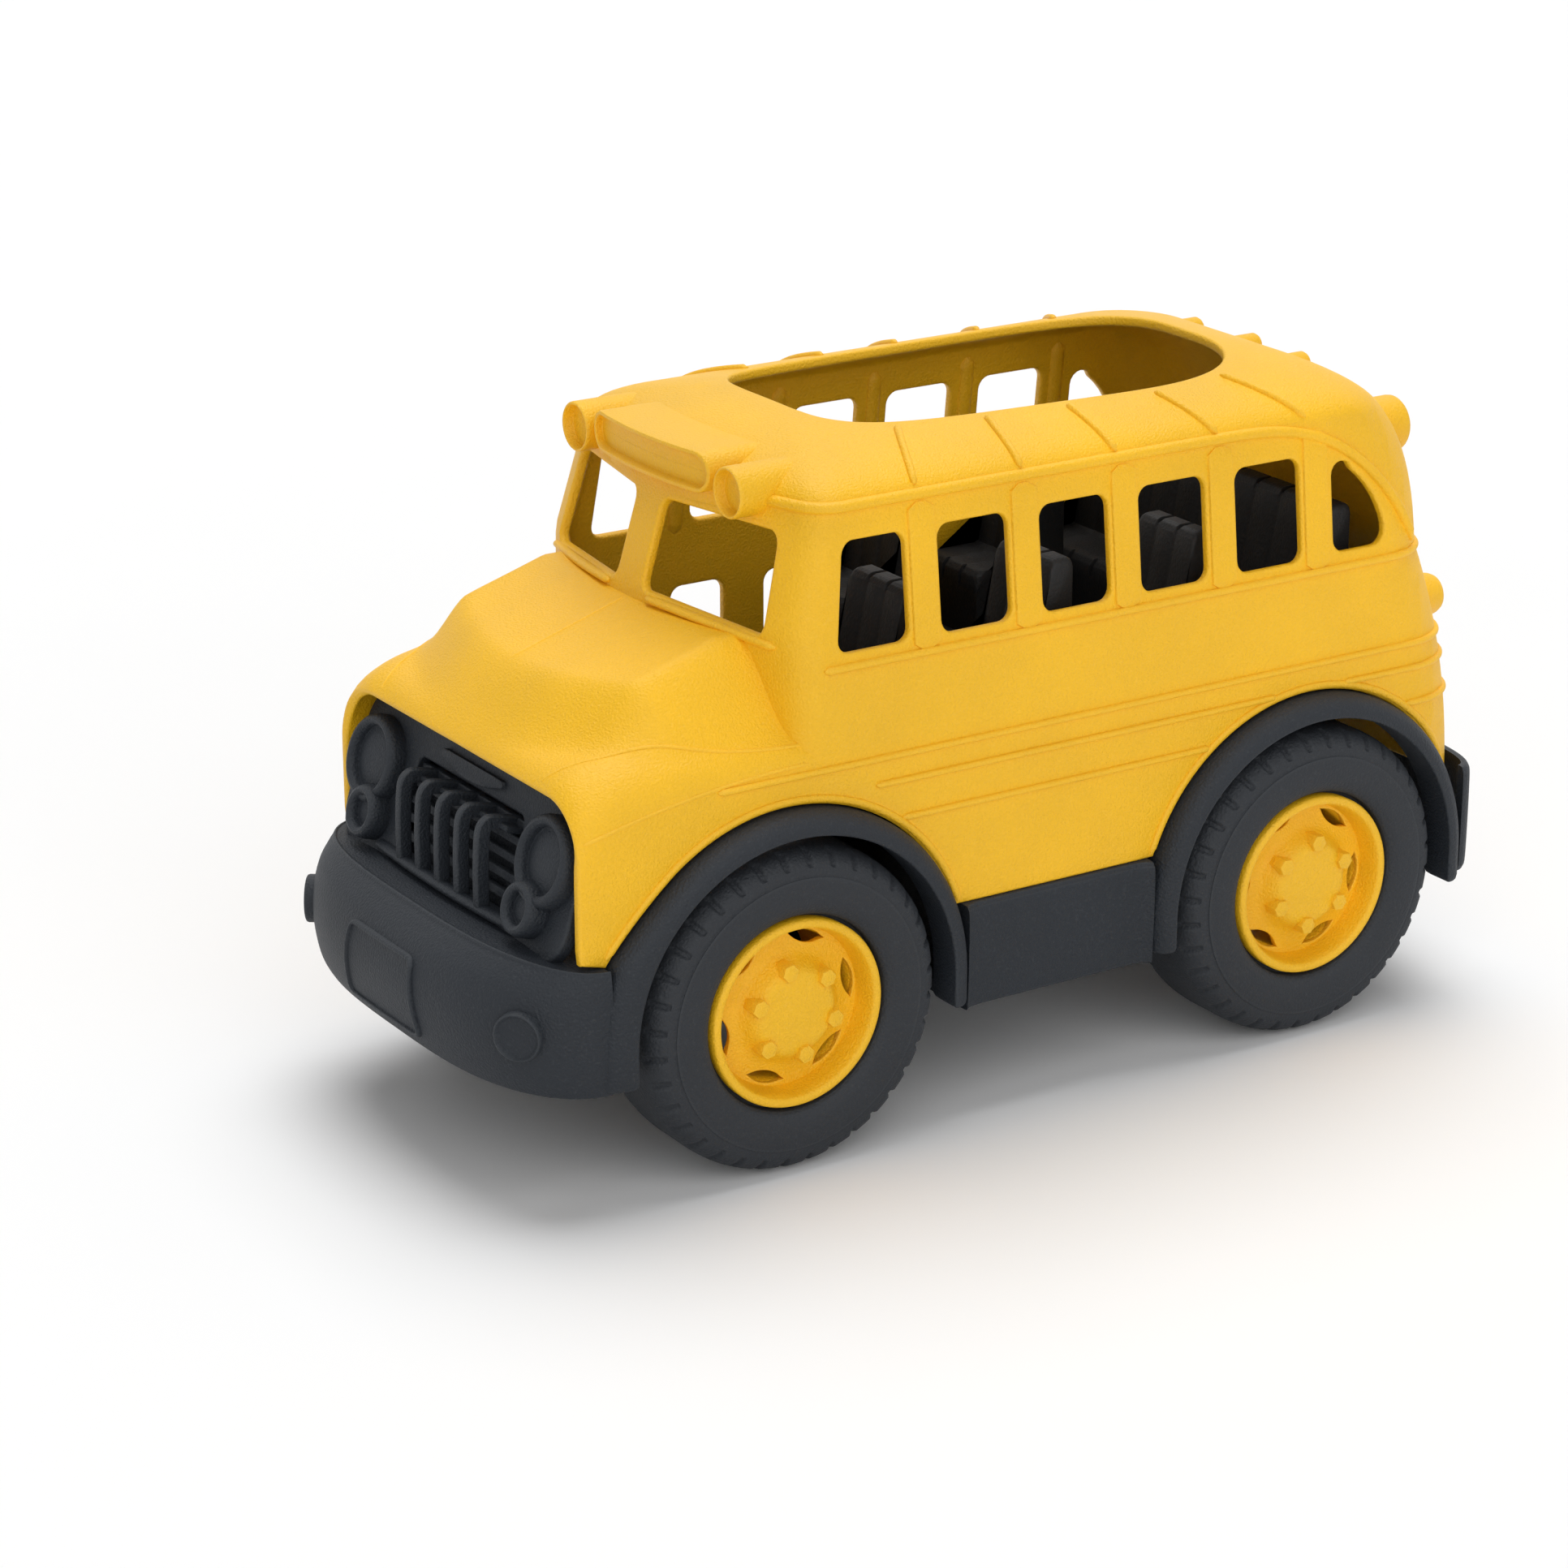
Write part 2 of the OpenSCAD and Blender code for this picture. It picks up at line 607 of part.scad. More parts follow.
module front_bumper() {
  reach = bumper_x - 1 - bumper_end_x;
  low = skirt_z + 1.5;
  back_hw = bumper_hw - skirt_t - 3;
  inner_hw = bumper_hw - skirt_t;
  lamp_z = 42.9;
  lamp_u = 0.828;
  lamp_h = 4.2;
  plate_h = 14.6;
  plate_taper = 2.7;
  power = 3.2;
  section = [
    [-1, back_hw, bumper_z],
    [reach * 0.68, bumper_hw - 1.4, bumper_z],
    [reach * 0.76, bumper_hw - 0.5, bumper_z - 0.9],
    [reach * 0.91, bumper_hw - 0.2, bumper_z - 5],
    [reach, bumper_hw - 0.05, bumper_z - 11],
    [reach, bumper_hw, bumper_z - 18],
    [reach * 0.94, bumper_hw - 0.2, bumper_z - 25],
    [reach * 0.8, bumper_hw - 0.8, low],
    [reach * 0.8 - skirt_t, inner_hw - 0.6, low],
    [reach * 0.94 - skirt_t, inner_hw - 0.2, bumper_z - 25],
    [reach - skirt_t, inner_hw, bumper_z - 18],
    [reach - skirt_t, inner_hw - 0.05, bumper_z - 12],
    [reach * 0.91 - skirt_t, inner_hw - 0.2, bumper_z - 7],
    [reach * 0.76 - skirt_t, inner_hw - 0.8, bumper_z - skirt_t - 0.6],
    [reach * 0.68 - skirt_t, inner_hw - 1.4, bumper_z - skirt_t],
    [-1, back_hw, bumper_z - skirt_t]
  ];
  color(charcoal)
    union() {
      loft(
        [for (i = [-bumper_steps:bumper_steps]) bumper_ring(bumper_end_x, power, section, i / bumper_steps)],
        bent = true
      );
      translate([bumper_x - skirt_t, 0, bumper_z - 22])
        rotate([0, -4, 0])
          rotate([90, 0, 90])
            linear_extrude(height = skirt_t)
              polygon([
                [-plate_hw, 0], [plate_hw, 0],
                [plate_hw - plate_taper, plate_h], [plate_taper - plate_hw, plate_h]
              ]);
      for (s = [-1, 1])
        translate([bumper_end_x + reach * sqrt(1 - pow(lamp_u, power)), s * bumper_hw * lamp_u, lamp_z])
          rotate([0, 0, s * 36])
            translate([-2.6, 0, 0])
              rotate([0, 90, 0]) cylinder(d = bumper_lamp_d, h = lamp_h);
      translate([bumper_end_x + 2, -tongue_hw, floor_top])
        cube([reach - skirt_t + 0.5, 2 * tongue_hw, tongue_t]);
    }
}

module rear_bumper() {
  reach = rear_bumper_x + rear_end_x;
  low = skirt_z + floor_t + 0.5;
  inner_hw = rear_bumper_hw - 2.2;
  edge = 4;
  section = [
    [-reach + 3.2, inner_hw, rear_bumper_z],
    [-reach + 3.2, inner_hw, low],
    [-reach + 1.2, rear_bumper_hw - 0.6, low],
    [-reach, rear_bumper_hw, low + edge],
    [-reach, rear_bumper_hw, rear_bumper_z - edge],
    [-reach + 1.2, rear_bumper_hw - 0.6, rear_bumper_z]
  ];
  color(charcoal)
    union() {
      loft([for (i = [-bumper_steps:bumper_steps]) bumper_ring(rear_end_x, 5, section, i / bumper_steps)]);
      translate([-rear_bumper_x + 2, -tongue_hw, floor_top]) cube([tongue_l, 2 * tongue_hw, tongue_t]);
    }
}

// Section of a fender: radius outwards, with the outer edges rounded
module fender_section() {
  depth = fender_y - fender_in_y;
  e = fender_edge;
  polygon(concat(
    [[fender_r0, 0], [fender_r1, 0]],
    arc(fender_r1 - e, depth - e, e, 0, 90),
    arc(fender_r0 + e, depth - e, e, 90, 180)
  ));
}

// Fender: half ring over the wheel with a straight leg at each end
module fender(x, side) {
  color(charcoal)
    translate([x, side * fender_in_y, axle_z])
      mirror([0, side > 0 ? 0 : 1, 0])
        union() {
          rotate([-90, 0, 0])
            rotate([0, 0, 180]) rotate_extrude(angle = 180) fender_section();
          for (s = [0, 1])
            mirror([s, 0, 0])
              translate([0, 0, fender_z - axle_z])
                linear_extrude(height = axle_z - fender_z) fender_section();
        }
}

// Sill strip between the fenders, carrying the lower edge of the shell
module sill(side) {
  e = 1.2;
  color(charcoal)
    mirror([0, side > 0 ? 0 : 1, 0])
      translate([sill_x0, 0, 0])
        rotate([90, 0, 90])
          linear_extrude(height = sill_x1 - sill_x0)
            polygon(concat(
              [[sill_in_y, skirt_z], [sill_y, skirt_z]],
              arc(sill_y - e, sill_z - e, e, 0, 90, 4),
              [[sill_in_y, sill_z]]
            ));
}

// Puts children, drawn with x = 0 on the panel's front face, on the leaning grille panel
module on_grille() {
  translate([grille_x, 0, headlamp_z])
    rotate([0, -atan(grille_lean), 0])
      translate([0, 0, -headlamp_z]) children();
}

// Grille panel: leaning plate with lamp rings, a barred opening and a bare strip above it
module grille_panel() {
  top_z = nose_z + 1.6;
  hw = body_hw - wall - 1.2;
  corner_r = 9;
  bar_t = 2.2;
  open_z0 = 61.5;
  open_z1 = 80;
  color(charcoal)
    difference() {
      on_grille() {
        translate([-grille_t, 0, 0])
          rotate([90, 0, 90])
            linear_extrude(height = grille_t)
              difference() {
                polygon(concat(
                  [[hw, bumper_z - 5]],
                  arc(hw - corner_r, top_z - corner_r, corner_r, 0, 90),
                  arc(corner_r - hw, top_z - corner_r, corner_r, 90, 180),
                  [[-hw, bumper_z - 5]]
                ));
                translate([-grille_hw, open_z0]) square([2 * grille_hw, open_z1 - open_z0]);
              }
        for (s = [-1, 1]) {
          translate([-1, s * headlamp_y, headlamp_z]) rotate([0, 90, 0]) cylinder(d = headlamp_d, h = 4.2);
          translate([-1, s * foglamp_y, foglamp_z]) rotate([0, 90, 0]) cylinder(d = foglamp_d, h = 4.8);
        }
        for (i = [0:grille_bars - 1])
          translate([-grille_t, (i - (grille_bars - 1) / 2) * 2 * grille_hw / grille_bars - bar_t / 2, open_z0 - 1])
            cube([grille_t + 1, bar_t, open_z1 - open_z0 + 2]);
        for (i = [0:3])
          translate([-grille_t, -grille_hw - 1, open_z0 + 3 + 4.2 * i]) cube([1.6, 2 * grille_hw + 2, 1.8]);
        translate([-1, -13, 82.2]) cube([1.8, 26, 3.2]);
      }
      on_grille()
        for (s = [-1, 1]) {
          translate([1.6, s * headlamp_y, headlamp_z]) rotate([0, 90, 0]) cylinder(d = headlamp_d - 4.6, h = 5);
          translate([2.2, s * foglamp_y, foglamp_z]) rotate([0, 90, 0]) cylinder(d = foglamp_d - 4, h = 5);
        }
      translate([0, -2 * body_hw, 0]) cube([2 * bumper_x, 4 * body_hw, bumper_z]);
    }
}

// Axle pin held in the saddles, with a snap head at each end that the hubs click over
module axle(x) {
  color(charcoal)
    translate([x, 0, axle_z])
      rotate([90, 0, 0])
        union() {
          cylinder(r = axle_r, h = 2 * snap_y, center = true);
          for (s = [0, 1])
            mirror([0, 0, s])
              translate([0, 0, snap_y - eps]) cylinder(r = axle_r + axle_snap, h = snap_head + eps);
        }
}

// Tyre section: bead, inner sidewall, tread with rounded shoulders, outer sidewall
module tyre(x, side) {
  bead_r = hub_r - hub_rim_w + bead_play;
  mouth_r = hub_r + rim_gap;
  s = tyre_shoulder;
  color(charcoal)
    translate([x, 0, axle_z])
      mirror([0, side > 0 ? 0 : 1, 0])
        rotate([-90, 0, 0])
          rotate_extrude($fn = 96)
            polygon(concat(
              [[bead_r, tyre_in_y + 1.5], [bead_r + 3, tyre_in_y + 0.4]],
              arc(tyre_d / 2 - s, tyre_in_y + s, s, -80, 0),
              arc(tyre_d / 2 - s, tyre_face_y - s, s, 0, 80),
              [
                [mouth_r + 3, tyre_face_y - 0.4],
                [mouth_r, tyre_face_y - 1.8],
                [mouth_r, rim_y - rim_flange - 0.2],
                [bead_r, rim_y - rim_flange - 0.2]
              ]
            ));
}

// Hub: rim ring and barrel, dished web with lens vents, bolted boss and a blind snap-on sleeve
module hub(x, side, turn) {
  seat_r = hub_r - hub_rim_w;
  barrel_r = seat_r - 2;
  dish_y = rim_y - hub_dish;
  boss_r = hub_boss_d / 2;
  boss_y = rim_y - 0.8;
  sleeve_y = floor_hw + 0.6;
  vent_r = 8.6;
  vent_off = 7.4;
  vent_x = seat_r - 3.6;
  color(yellow)
    translate([x, 0, axle_z])
      rotate([0, turn, 0])
        mirror([0, side > 0 ? 0 : 1, 0])
          difference() {
            union() {
              rotate([-90, 0, 0]) {
                rotate_extrude($fn = 96)
                  polygon([
                    [0, dish_y - web_t], [barrel_r, dish_y - web_t],
                    [barrel_r, tyre_in_y + 1.5], [seat_r, tyre_in_y + 1.5],
                    [seat_r, rim_y - rim_flange], [hub_r, rim_y - rim_flange],
                    [hub_r, rim_y], [seat_r, rim_y],
                    [barrel_r, dish_y + 1], [barrel_r - 1, dish_y],
                    [boss_r + 3, dish_y], [boss_r, boss_y], [0, boss_y]
                  ]);
                translate([0, 0, sleeve_y]) cylinder(r = sleeve_r, h = dish_y - sleeve_y);
              }
              for (i = [0:wheel_bolts - 1])
                rotate([0, (i + 0.5) * 360 / wheel_bolts, 0])
                  translate([boss_r + 0.4, dish_y - eps, 0])
                    rotate([-90, 0, 0])
                      cylinder(d = wheel_bolt_af / cos(30), h = boss_y - dish_y + 0.7, $fn = 6);
            }
            rotate([-90, 0, 0]) {
              translate([0, 0, sleeve_y - 1])
                cylinder(r = axle_r + axle_play, h = snap_y - sleeve_y + 1);
              translate([0, 0, snap_y - snap_room])
                cylinder(r = axle_r + axle_snap + axle_play, h = snap_head + 2 * snap_room);
            }
            for (i = [0:wheel_bolts - 1])
              rotate([0, i * 360 / wheel_bolts, 0])
                intersection() {
                  translate([vent_x - vent_off, dish_y - web_t - 1, 0])
                    rotate([-90, 0, 0]) cylinder(r = vent_r, h = web_t + 3);
                  translate([vent_x + vent_off, dish_y - web_t - 1, 0])
                    rotate([-90, 0, 0]) cylinder(r = vent_r, h = web_t + 3);
                }
          }
}

body_shell();
floor_pan();
seat_insert();
grille_panel();
front_bumper();
rear_bumper();
fender(front_axle_x, 1);  // fender_front_left
fender(front_axle_x, -1);  // fender_front_right
fender(rear_axle_x, 1);  // fender_rear_left
fender(rear_axle_x, -1);  // fender_rear_right
sill(1);  // sill_left
sill(-1);  // sill_right
axle(front_axle_x);  // front_axle
axle(rear_axle_x);  // rear_axle
tyre(front_axle_x, 1);  // tyre_front_left
tyre(front_axle_x, -1);  // tyre_front_right
tyre(rear_axle_x, 1);  // tyre_rear_left
tyre(rear_axle_x, -1);  // tyre_rear_right
hub(front_axle_x, 1, front_hub_turn);  // hub_front_left
hub(front_axle_x, -1, front_hub_turn);  // hub_front_right
hub(rear_axle_x, 1, rear_hub_turn);  // hub_rear_left
hub(rear_axle_x, -1, rear_hub_turn);  // hub_rear_right
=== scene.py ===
import bpy
import numpy as np
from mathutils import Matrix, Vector
from mathutils.geometry import delaunay_2d_cdt


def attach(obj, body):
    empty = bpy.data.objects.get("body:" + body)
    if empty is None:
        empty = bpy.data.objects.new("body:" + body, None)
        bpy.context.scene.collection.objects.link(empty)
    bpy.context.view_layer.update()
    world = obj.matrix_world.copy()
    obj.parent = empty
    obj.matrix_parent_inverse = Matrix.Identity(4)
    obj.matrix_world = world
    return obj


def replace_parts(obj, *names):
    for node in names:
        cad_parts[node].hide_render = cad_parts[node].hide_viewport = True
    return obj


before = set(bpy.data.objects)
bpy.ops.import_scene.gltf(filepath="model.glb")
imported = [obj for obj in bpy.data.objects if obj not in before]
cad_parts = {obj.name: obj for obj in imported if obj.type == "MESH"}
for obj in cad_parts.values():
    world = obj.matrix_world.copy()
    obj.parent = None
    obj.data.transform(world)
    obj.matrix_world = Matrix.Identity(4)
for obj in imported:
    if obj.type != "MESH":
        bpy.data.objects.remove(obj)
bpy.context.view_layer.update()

# Shell: the yellow body of the bus, cabin, bonnet and roof in one injection moulding of
# matt grained plastic, 2.4 mm thick, with open windows and a large opening in the roof.
MM = 0.001
WALL = 2.4
BODY_HW, GUTTER_HW = 53.5, 49.6
SILL_Z, BELT_Z, GUTTER_Z, ROOF_Z = 51.7, 112.0, 146.0, 158.0
REAR_R, FRONT_R, SWEEP = 16.0, 8.0, 12.0
ROOF_H = ROOF_Z - GUTTER_Z
FRONT_AXLE, REAR_AXLE = 62.5, -80.0
AXLES = {"front": FRONT_AXLE, "rear": REAR_AXLE}
SIDES = {"left": 1, "right": -1}
AXLE_Z, ARCH_R = 37.2, 46.0
LIP_X, TIP_Z, TIP_FALL = 113.4, 57.8, 2.6
EDGE_R, GUARD = 0.8, 0.6
WINDOW_PITCH, WINDOWS = 26.9, 5
DOOR_LIGHTS, DOOR_HW, DOOR_Z0, DOOR_Z1 = (20.5, -5.5), 7.25, 82, 99
PANE_Z0, PANE_Z1, PANE_H = 120.6, 140.4, 19.8
FOOT_Z, BEND_X, STEP = 100.0, -50, 0.05


def clamp01(t):
    """The value held between 0 and 1."""
    return np.clip(t, 0.0, 1.0)


def coords(*axes):
    """Points from their coordinates; a single value goes with every point."""
    return np.stack(np.broadcast_arrays(*axes), -1)


def unit(v):
    """The vectors made one long."""
    return v / np.maximum(np.linalg.norm(v, axis=1, keepdims=True), 1e-12)


def two_runs(a, b, c, first, second):
    """Values from a to b and on to c, evenly spaced within each run."""
    return np.concatenate([np.linspace(a, b, first), np.linspace(b, c, second)[1:]])


def smooth(t):
    """Smooth step: 3 t squared less 2 t cubed, held to 0 and 1 outside."""
    c = clamp01(t)
    return c * c * (3 - 2 * c)


def dome(z):
    """Share of the roof width left at height z: quarter ellipse from gutter to crown."""
    return np.sqrt(1 - clamp01((z - GUTTER_Z) / ROOF_H) ** 2)


def side_y(z):
    """Half width at height z: upright to the belt, leaning in to the gutter, then the roof dome."""
    lean = BODY_HW - (BODY_HW - GUTTER_HW) * clamp01((z - BELT_Z) / (GUTTER_Z - BELT_Z))
    return np.where(z > GUTTER_Z, GUTTER_HW * dome(z), lean)


def front_x(z):
    """Centre line of the front: upright, leaning back by 0.3 above the sill, then the roof dome."""
    lean = 70.1 - 0.3 * np.clip(z - 120, 0, GUTTER_Z - 120)
    return lean - 45 * (1 - dome(z))


def back_x(z):
    """Centre line of the back: a parabola to the belt, then a superellipse over the tail."""
    low = -131 + 13 * clamp01((z - SILL_Z) / (BELT_Z - SILL_Z)) ** 2
    up = clamp01((z - BELT_Z) / (ROOF_Z - BELT_Z))
    return np.where(z <= BELT_Z, low, -70 - 48 * (1 - up ** 2.6) ** (1 / 2.6))


def wall_y(x, z):
    """Side wall at length x and height z: half width, rounded off into the rear corner."""
    d = np.clip(back_x(z) + REAR_R - x, 0, REAR_R)
    return side_y(z) - REAR_R + np.sqrt(REAR_R ** 2 - d * d)


def front_curve(s, z):
    """Half of the front in plan at height z: s from 0 to 0.8 runs along a parabola from the centre
    line outwards, 0.8 to 1 round the corner arc that carries on from it to the start of the side."""
    s, z = np.broadcast_arrays(s, z)
    hw, xf = side_y(z), front_x(z)
    rf = np.minimum(FRONT_R, hw * 0.5)
    sweep = SWEEP * ((hw - rf) / BODY_HW) ** 2
    a0 = np.radians(21)
    end = 1 + rf * np.sin(a0) / (hw - rf)
    t = np.minimum(s / 0.8, 1) * end
    a = a0 + np.radians(69) * clamp01((s - 0.8) / 0.2)
    on_arc = s > 0.8
    x = np.where(on_arc, xf - sweep * end * end + rf * (np.cos(a) - np.cos(a0)), xf - sweep * t * t)
    y = np.where(on_arc, hw - rf + rf * np.sin(a), (hw - rf) * t)
    return x, y


def rear_curve(s, z):
    """Half of the back in plan at height z: s from 0 to 0.4 round the corner from the side, then
    straight across to the centre line."""
    s, z = np.broadcast_arrays(s, z)
    hw, xb = side_y(z), back_x(z)
    r = np.minimum(REAR_R, hw * 0.6)
    a = np.radians(90 + 90 * clamp01(s / 0.4))
    x = np.where(s < 0.4, xb + r + r * np.cos(a), xb)
    y = np.where(s < 0.4, hw - r + r * np.sin(a), (hw - r) * (1 - clamp01((s - 0.4) / 0.6)))
    return x, y


def quads(rows, cols, wrap_rows=False, wrap_cols=False):
    """Four-cornered faces of a grid of rows by columns, closed round on request."""
    i = np.arange(rows if wrap_rows else rows - 1)[:, None]
    j = np.arange(cols if wrap_cols else cols - 1)[None, :]
    a, b = i * cols + j, i * cols + (j + 1) % cols
    up = ((i + 1) % rows) * cols
    return coords(a, b, up + (j + 1) % cols, up + j).reshape(-1, 4)


def joined(parts):
    """One list of points and one of triangles from several patches; every quad is split."""
    points, tris, start = [], [], 0
    for v, f in parts:
        f = np.asarray(f)
        if f.shape[1] == 4:
            f = np.concatenate([f[:, [0, 1, 2]], f[:, [0, 2, 3]]])
        points.append(np.asarray(v, float).reshape(-1, 3))
        tris.append(f + start)
        start += len(points[-1])
    return np.concatenate(points), np.concatenate(tris)


def weld(parts):
    """Patches joined into one surface: points closer than a tenth of a micron become one, and
    faces that collapse are dropped."""
    points, tris = joined(parts)
    _, first, back = np.unique(np.round(points, 4), axis=0, return_index=True, return_inverse=True)
    tris = back.reshape(-1)[tris]
    good = (tris[:, 0] != tris[:, 1]) & (tris[:, 1] != tris[:, 2]) & (tris[:, 2] != tris[:, 0])
    return points[first], tris[good]


def outward(points, tris):
    """The closed solid with its faces turned outwards: the sign of its volume decides."""
    a, b, c = (points[tris[:, k]] for k in range(3))
    return (points, tris) if np.einsum("ij,ij->", a, np.cross(b, c)) > 0 else (points, tris[:, ::-1])


def vertex_normals(points, tris):
    """Mean of the face normals round each point, weighted by area."""
    n = np.cross(points[tris[:, 1]] - points[tris[:, 0]], points[tris[:, 2]] - points[tris[:, 0]])
    out = np.zeros_like(points)
    for k in range(3):
        np.add.at(out, tris[:, k], n)
    return unit(out)


def thicken(points, tris, thick, r):
    """A sheet made into a wall: a copy lies one thickness inside, and a rounded edge profile is
    carried along every free edge, out by r from the sheet and round to the inner copy."""
    normal = vertex_normals(points, tris)
    n = len(points)
    edges = np.concatenate([tris[:, [0, 1]], tris[:, [1, 2]], tris[:, [2, 0]]])
    code = edges[:, 0] * n + edges[:, 1]
    free = edges[~np.isin(code, edges[:, 1] * n + edges[:, 0])]
    following, before = np.full(n, -1), np.full(n, -1)
    following[free[:, 0]] = free[:, 1]
    before[free[:, 1]] = free[:, 0]
    rim = free[:, 0]
    along = points[following[rim]] - points[before[rim]]
    out = unit(np.cross(along, normal[rim]))
    a = np.radians([22.5, 45, 67.5, 90])
    reach = np.concatenate([r * np.sin(a), r * np.sin(a[::-1]), [0]])
    depth = np.concatenate([r * (1 - np.cos(a)), thick - r * (1 - np.cos(a[::-1])), [thick]])
    lines = points[rim][None] + reach[:, None, None] * out[None] - depth[:, None, None] * normal[rim][None]
    lines = np.concatenate([points[rim][None], lines])
    place = np.full(n, -1)
    place[rim] = np.arange(len(rim))
    k = np.arange(len(lines) - 1)[:, None] * len(rim)
    p, q = place[free[:, 0]][None], place[free[:, 1]][None]
    strip = coords(k + q, k + p, k + len(rim) + p, k + len(rim) + q).reshape(-1, 4)
    return weld([(points, tris), (points - thick * normal, tris[:, ::-1]), (lines.reshape(-1, 3), strip)])


def inside(poly, pts):
    """Even-odd test of points against a closed outline: crossings of a ray to the right."""
    a, b = poly, np.roll(poly, -1, axis=0)
    y = pts[:, 1][:, None]
    hit = (a[None, :, 1] > y) != (b[None, :, 1] > y)
    dy = np.where(b[:, 1] == a[:, 1], 1e-9, b[:, 1] - a[:, 1])
    x = a[None, :, 0] + (y - a[None, :, 1]) * ((b[:, 0] - a[:, 0]) / dy)[None]
    return (np.sum(hit & (pts[:, 0][:, None] < x), axis=1) % 2).astype(bool)


def panel(outline, holes, step, guards=()):
    """Flat outline with holes cut into triangles: outline, hole edges and guard lines are kept as
    edges, and a grid of points at the given step fills the rest."""
    loops = [outline, *holes, *guards]
    lo, hi = outline.min(0), outline.max(0)
    gx, gy = np.meshgrid(np.arange(lo[0] + step / 2, hi[0], step), np.arange(lo[1] + step / 2, hi[1], step))
    fill = coords(gx.ravel(), gy.ravel())
    keep = inside(outline, fill)
    for h in [*holes, *guards]:
        keep &= ~inside(h, fill)
    near = np.min(np.linalg.norm(fill[:, None] - np.concatenate(loops)[None], axis=2), axis=1)
    fill = fill[keep & (near > step * 0.45)]
    pts = np.concatenate([*loops, fill])
    edges, start = [], 0
    for l in loops:
        i = np.arange(len(l))
        edges.append(coords(start + i, start + np.roll(i, -1)))
        start += len(l)
    out = delaunay_2d_cdt([Vector(p) for p in pts], np.concatenate(edges).tolist(), [], 0, 1e-7)
    flat = pts[[source[0] for source in out[3]]]
    tris = np.array([t for t in out[2] if len(t) == 3])
    mid = flat[tris].mean(1)
    keep = inside(outline, mid)
    for h in holes:
        keep &= ~inside(h, mid)
    tris = tris[keep]
    a, b, c = (flat[tris[:, k]] for k in range(3))
    turn = (b - a)[:, 0] * (c - a)[:, 1] - (b - a)[:, 1] * (c - a)[:, 0]
    tris[turn < 0] = tris[turn < 0][:, ::-1]
    return flat, tris[np.abs(turn) > 1e-7]


def rounded(x0, x1, z0, z1, r, grow, slant=0.0):
    """Rounded rectangle as a closed line, grown by a margin; slant leans its last side over."""
    r, a = r + grow, np.radians(np.arange(0, 91, 15))
    cx, cz = (x0 - grow + r, x1 + grow - r), (z0 - grow + r, z1 + grow - r)
    corners = [(cx[1], cz[1], 0), (cx[0], cz[1], 90), (cx[0], cz[0], 180), (cx[1], cz[0], 270)]
    line = np.concatenate([
        coords(x + r * np.cos(a + np.radians(s)), z + r * np.sin(a + np.radians(s)))
        for x, z, s in corners])
    share = (line[:, 0] - x0) / (x1 - x0) * (line[:, 1] - z0) / (z1 - z0)
    line[:, 0] -= slant * np.clip(share, 0, 1.2)
    return line


def quarter_light(grow):
    """Rear quarter window: upright front edge, bowed shoulder that falls to the tail, rounded foot."""
    corners = [(-88.8, 133.2, 3, 0, 128), (-76.3, 114.2, 25, 128, 168), (-97.1, 119.0, 3.5, 168, 270),
               (-88.8, 118.5, 3, 270, 360)]
    return np.concatenate([
        coords(x + (r + grow) * np.cos(np.radians(np.linspace(a0, a1, 7))),
               z + (r + grow) * np.sin(np.radians(np.linspace(a0, a1, 7))))
        for x, z, r, a0, a1 in corners])


def ledge_z(x):
    """Height of the shoulders beside the crown: level, then a quarter ellipse down to the lip."""
    t = clamp01((x - 96) / 18)
    return 90.6 + 8.4 * np.sqrt(1 - t * t)


def roll_r(x):
    """Radius of the shoulder roll, which widens towards the lip."""
    return 9 + 5 * smooth((x - 80) / 33)


def crown(x, y):
    """Broad crown standing on the ledge: a smooth step up over the cove at its sides and its
    bowed front, times its height, which falls from windscreen to front."""
    top = 105 + 13 * clamp01((112 - x) / 41.9)
    rise = np.maximum(0, top - ledge_z(x))
    return rise * smooth((50 - np.abs(y)) / 14) * smooth((113 - 0.0062 * y * y - x) / 15)


def hood_z(x, y):
    """Height of the bonnet surface over a point: shoulder roll plus crown."""
    r = roll_r(x)
    over = np.clip(np.abs(y) - (BODY_HW - r), 0, r)
    return ledge_z(x) - r + np.sqrt(r * r - over * over) + crown(x, y)


def hood_section(q, x):
    """Section of the bonnet at length x: q from 0 to 0.35 rolls over the shoulder, then across the
    ledge and the crown to the centre line at 1."""
    r = roll_r(x)
    a = np.radians(90 * clamp01(q / 0.35))
    y = np.where(q < 0.35, BODY_HW - r * (1 - np.cos(a)), (BODY_HW - r) * (1 - clamp01((q - 0.35) / 0.65)))
    z = ledge_z(x) - r * (1 - np.sin(a)) + crown(x, y)
    return y, z


heights = two_runs(90, BELT_Z, GUTTER_Z, 9, 13)
corner_x = front_curve(1.0, heights)[0]
CORNER_X = float(corner_x[0])
top_x = np.linspace(corner_x[-1], float(back_x(GUTTER_Z)) + REAR_R, 60)
hood_t = np.linspace(0, 1, 40)
lip_roll_z = float(ledge_z(LIP_X) - roll_r(LIP_X))


def swell(axle_x, a):
    """Growth of the front wheel arch towards its front foot: the square of the share of the way
    down from 50 to 25 degrees above the axle, and none at the rear wheel."""
    return 2.8 * clamp01((50 - np.degrees(a)) / 25) ** 2 * (axle_x > 0)


def arch_line(axle_x, x0, x1):
    """Arc of a wheel arch from length x0 to x1 of the plain arc, with its swell."""
    r = ARCH_R + EDGE_R
    a0, a1 = np.arccos((x0 - axle_x) / r), np.arccos((x1 - axle_x) / r)
    a = np.linspace(a0, a1, 49)
    r = r + swell(axle_x, a)
    return coords(axle_x + r * np.cos(a), AXLE_Z + r * np.sin(a))


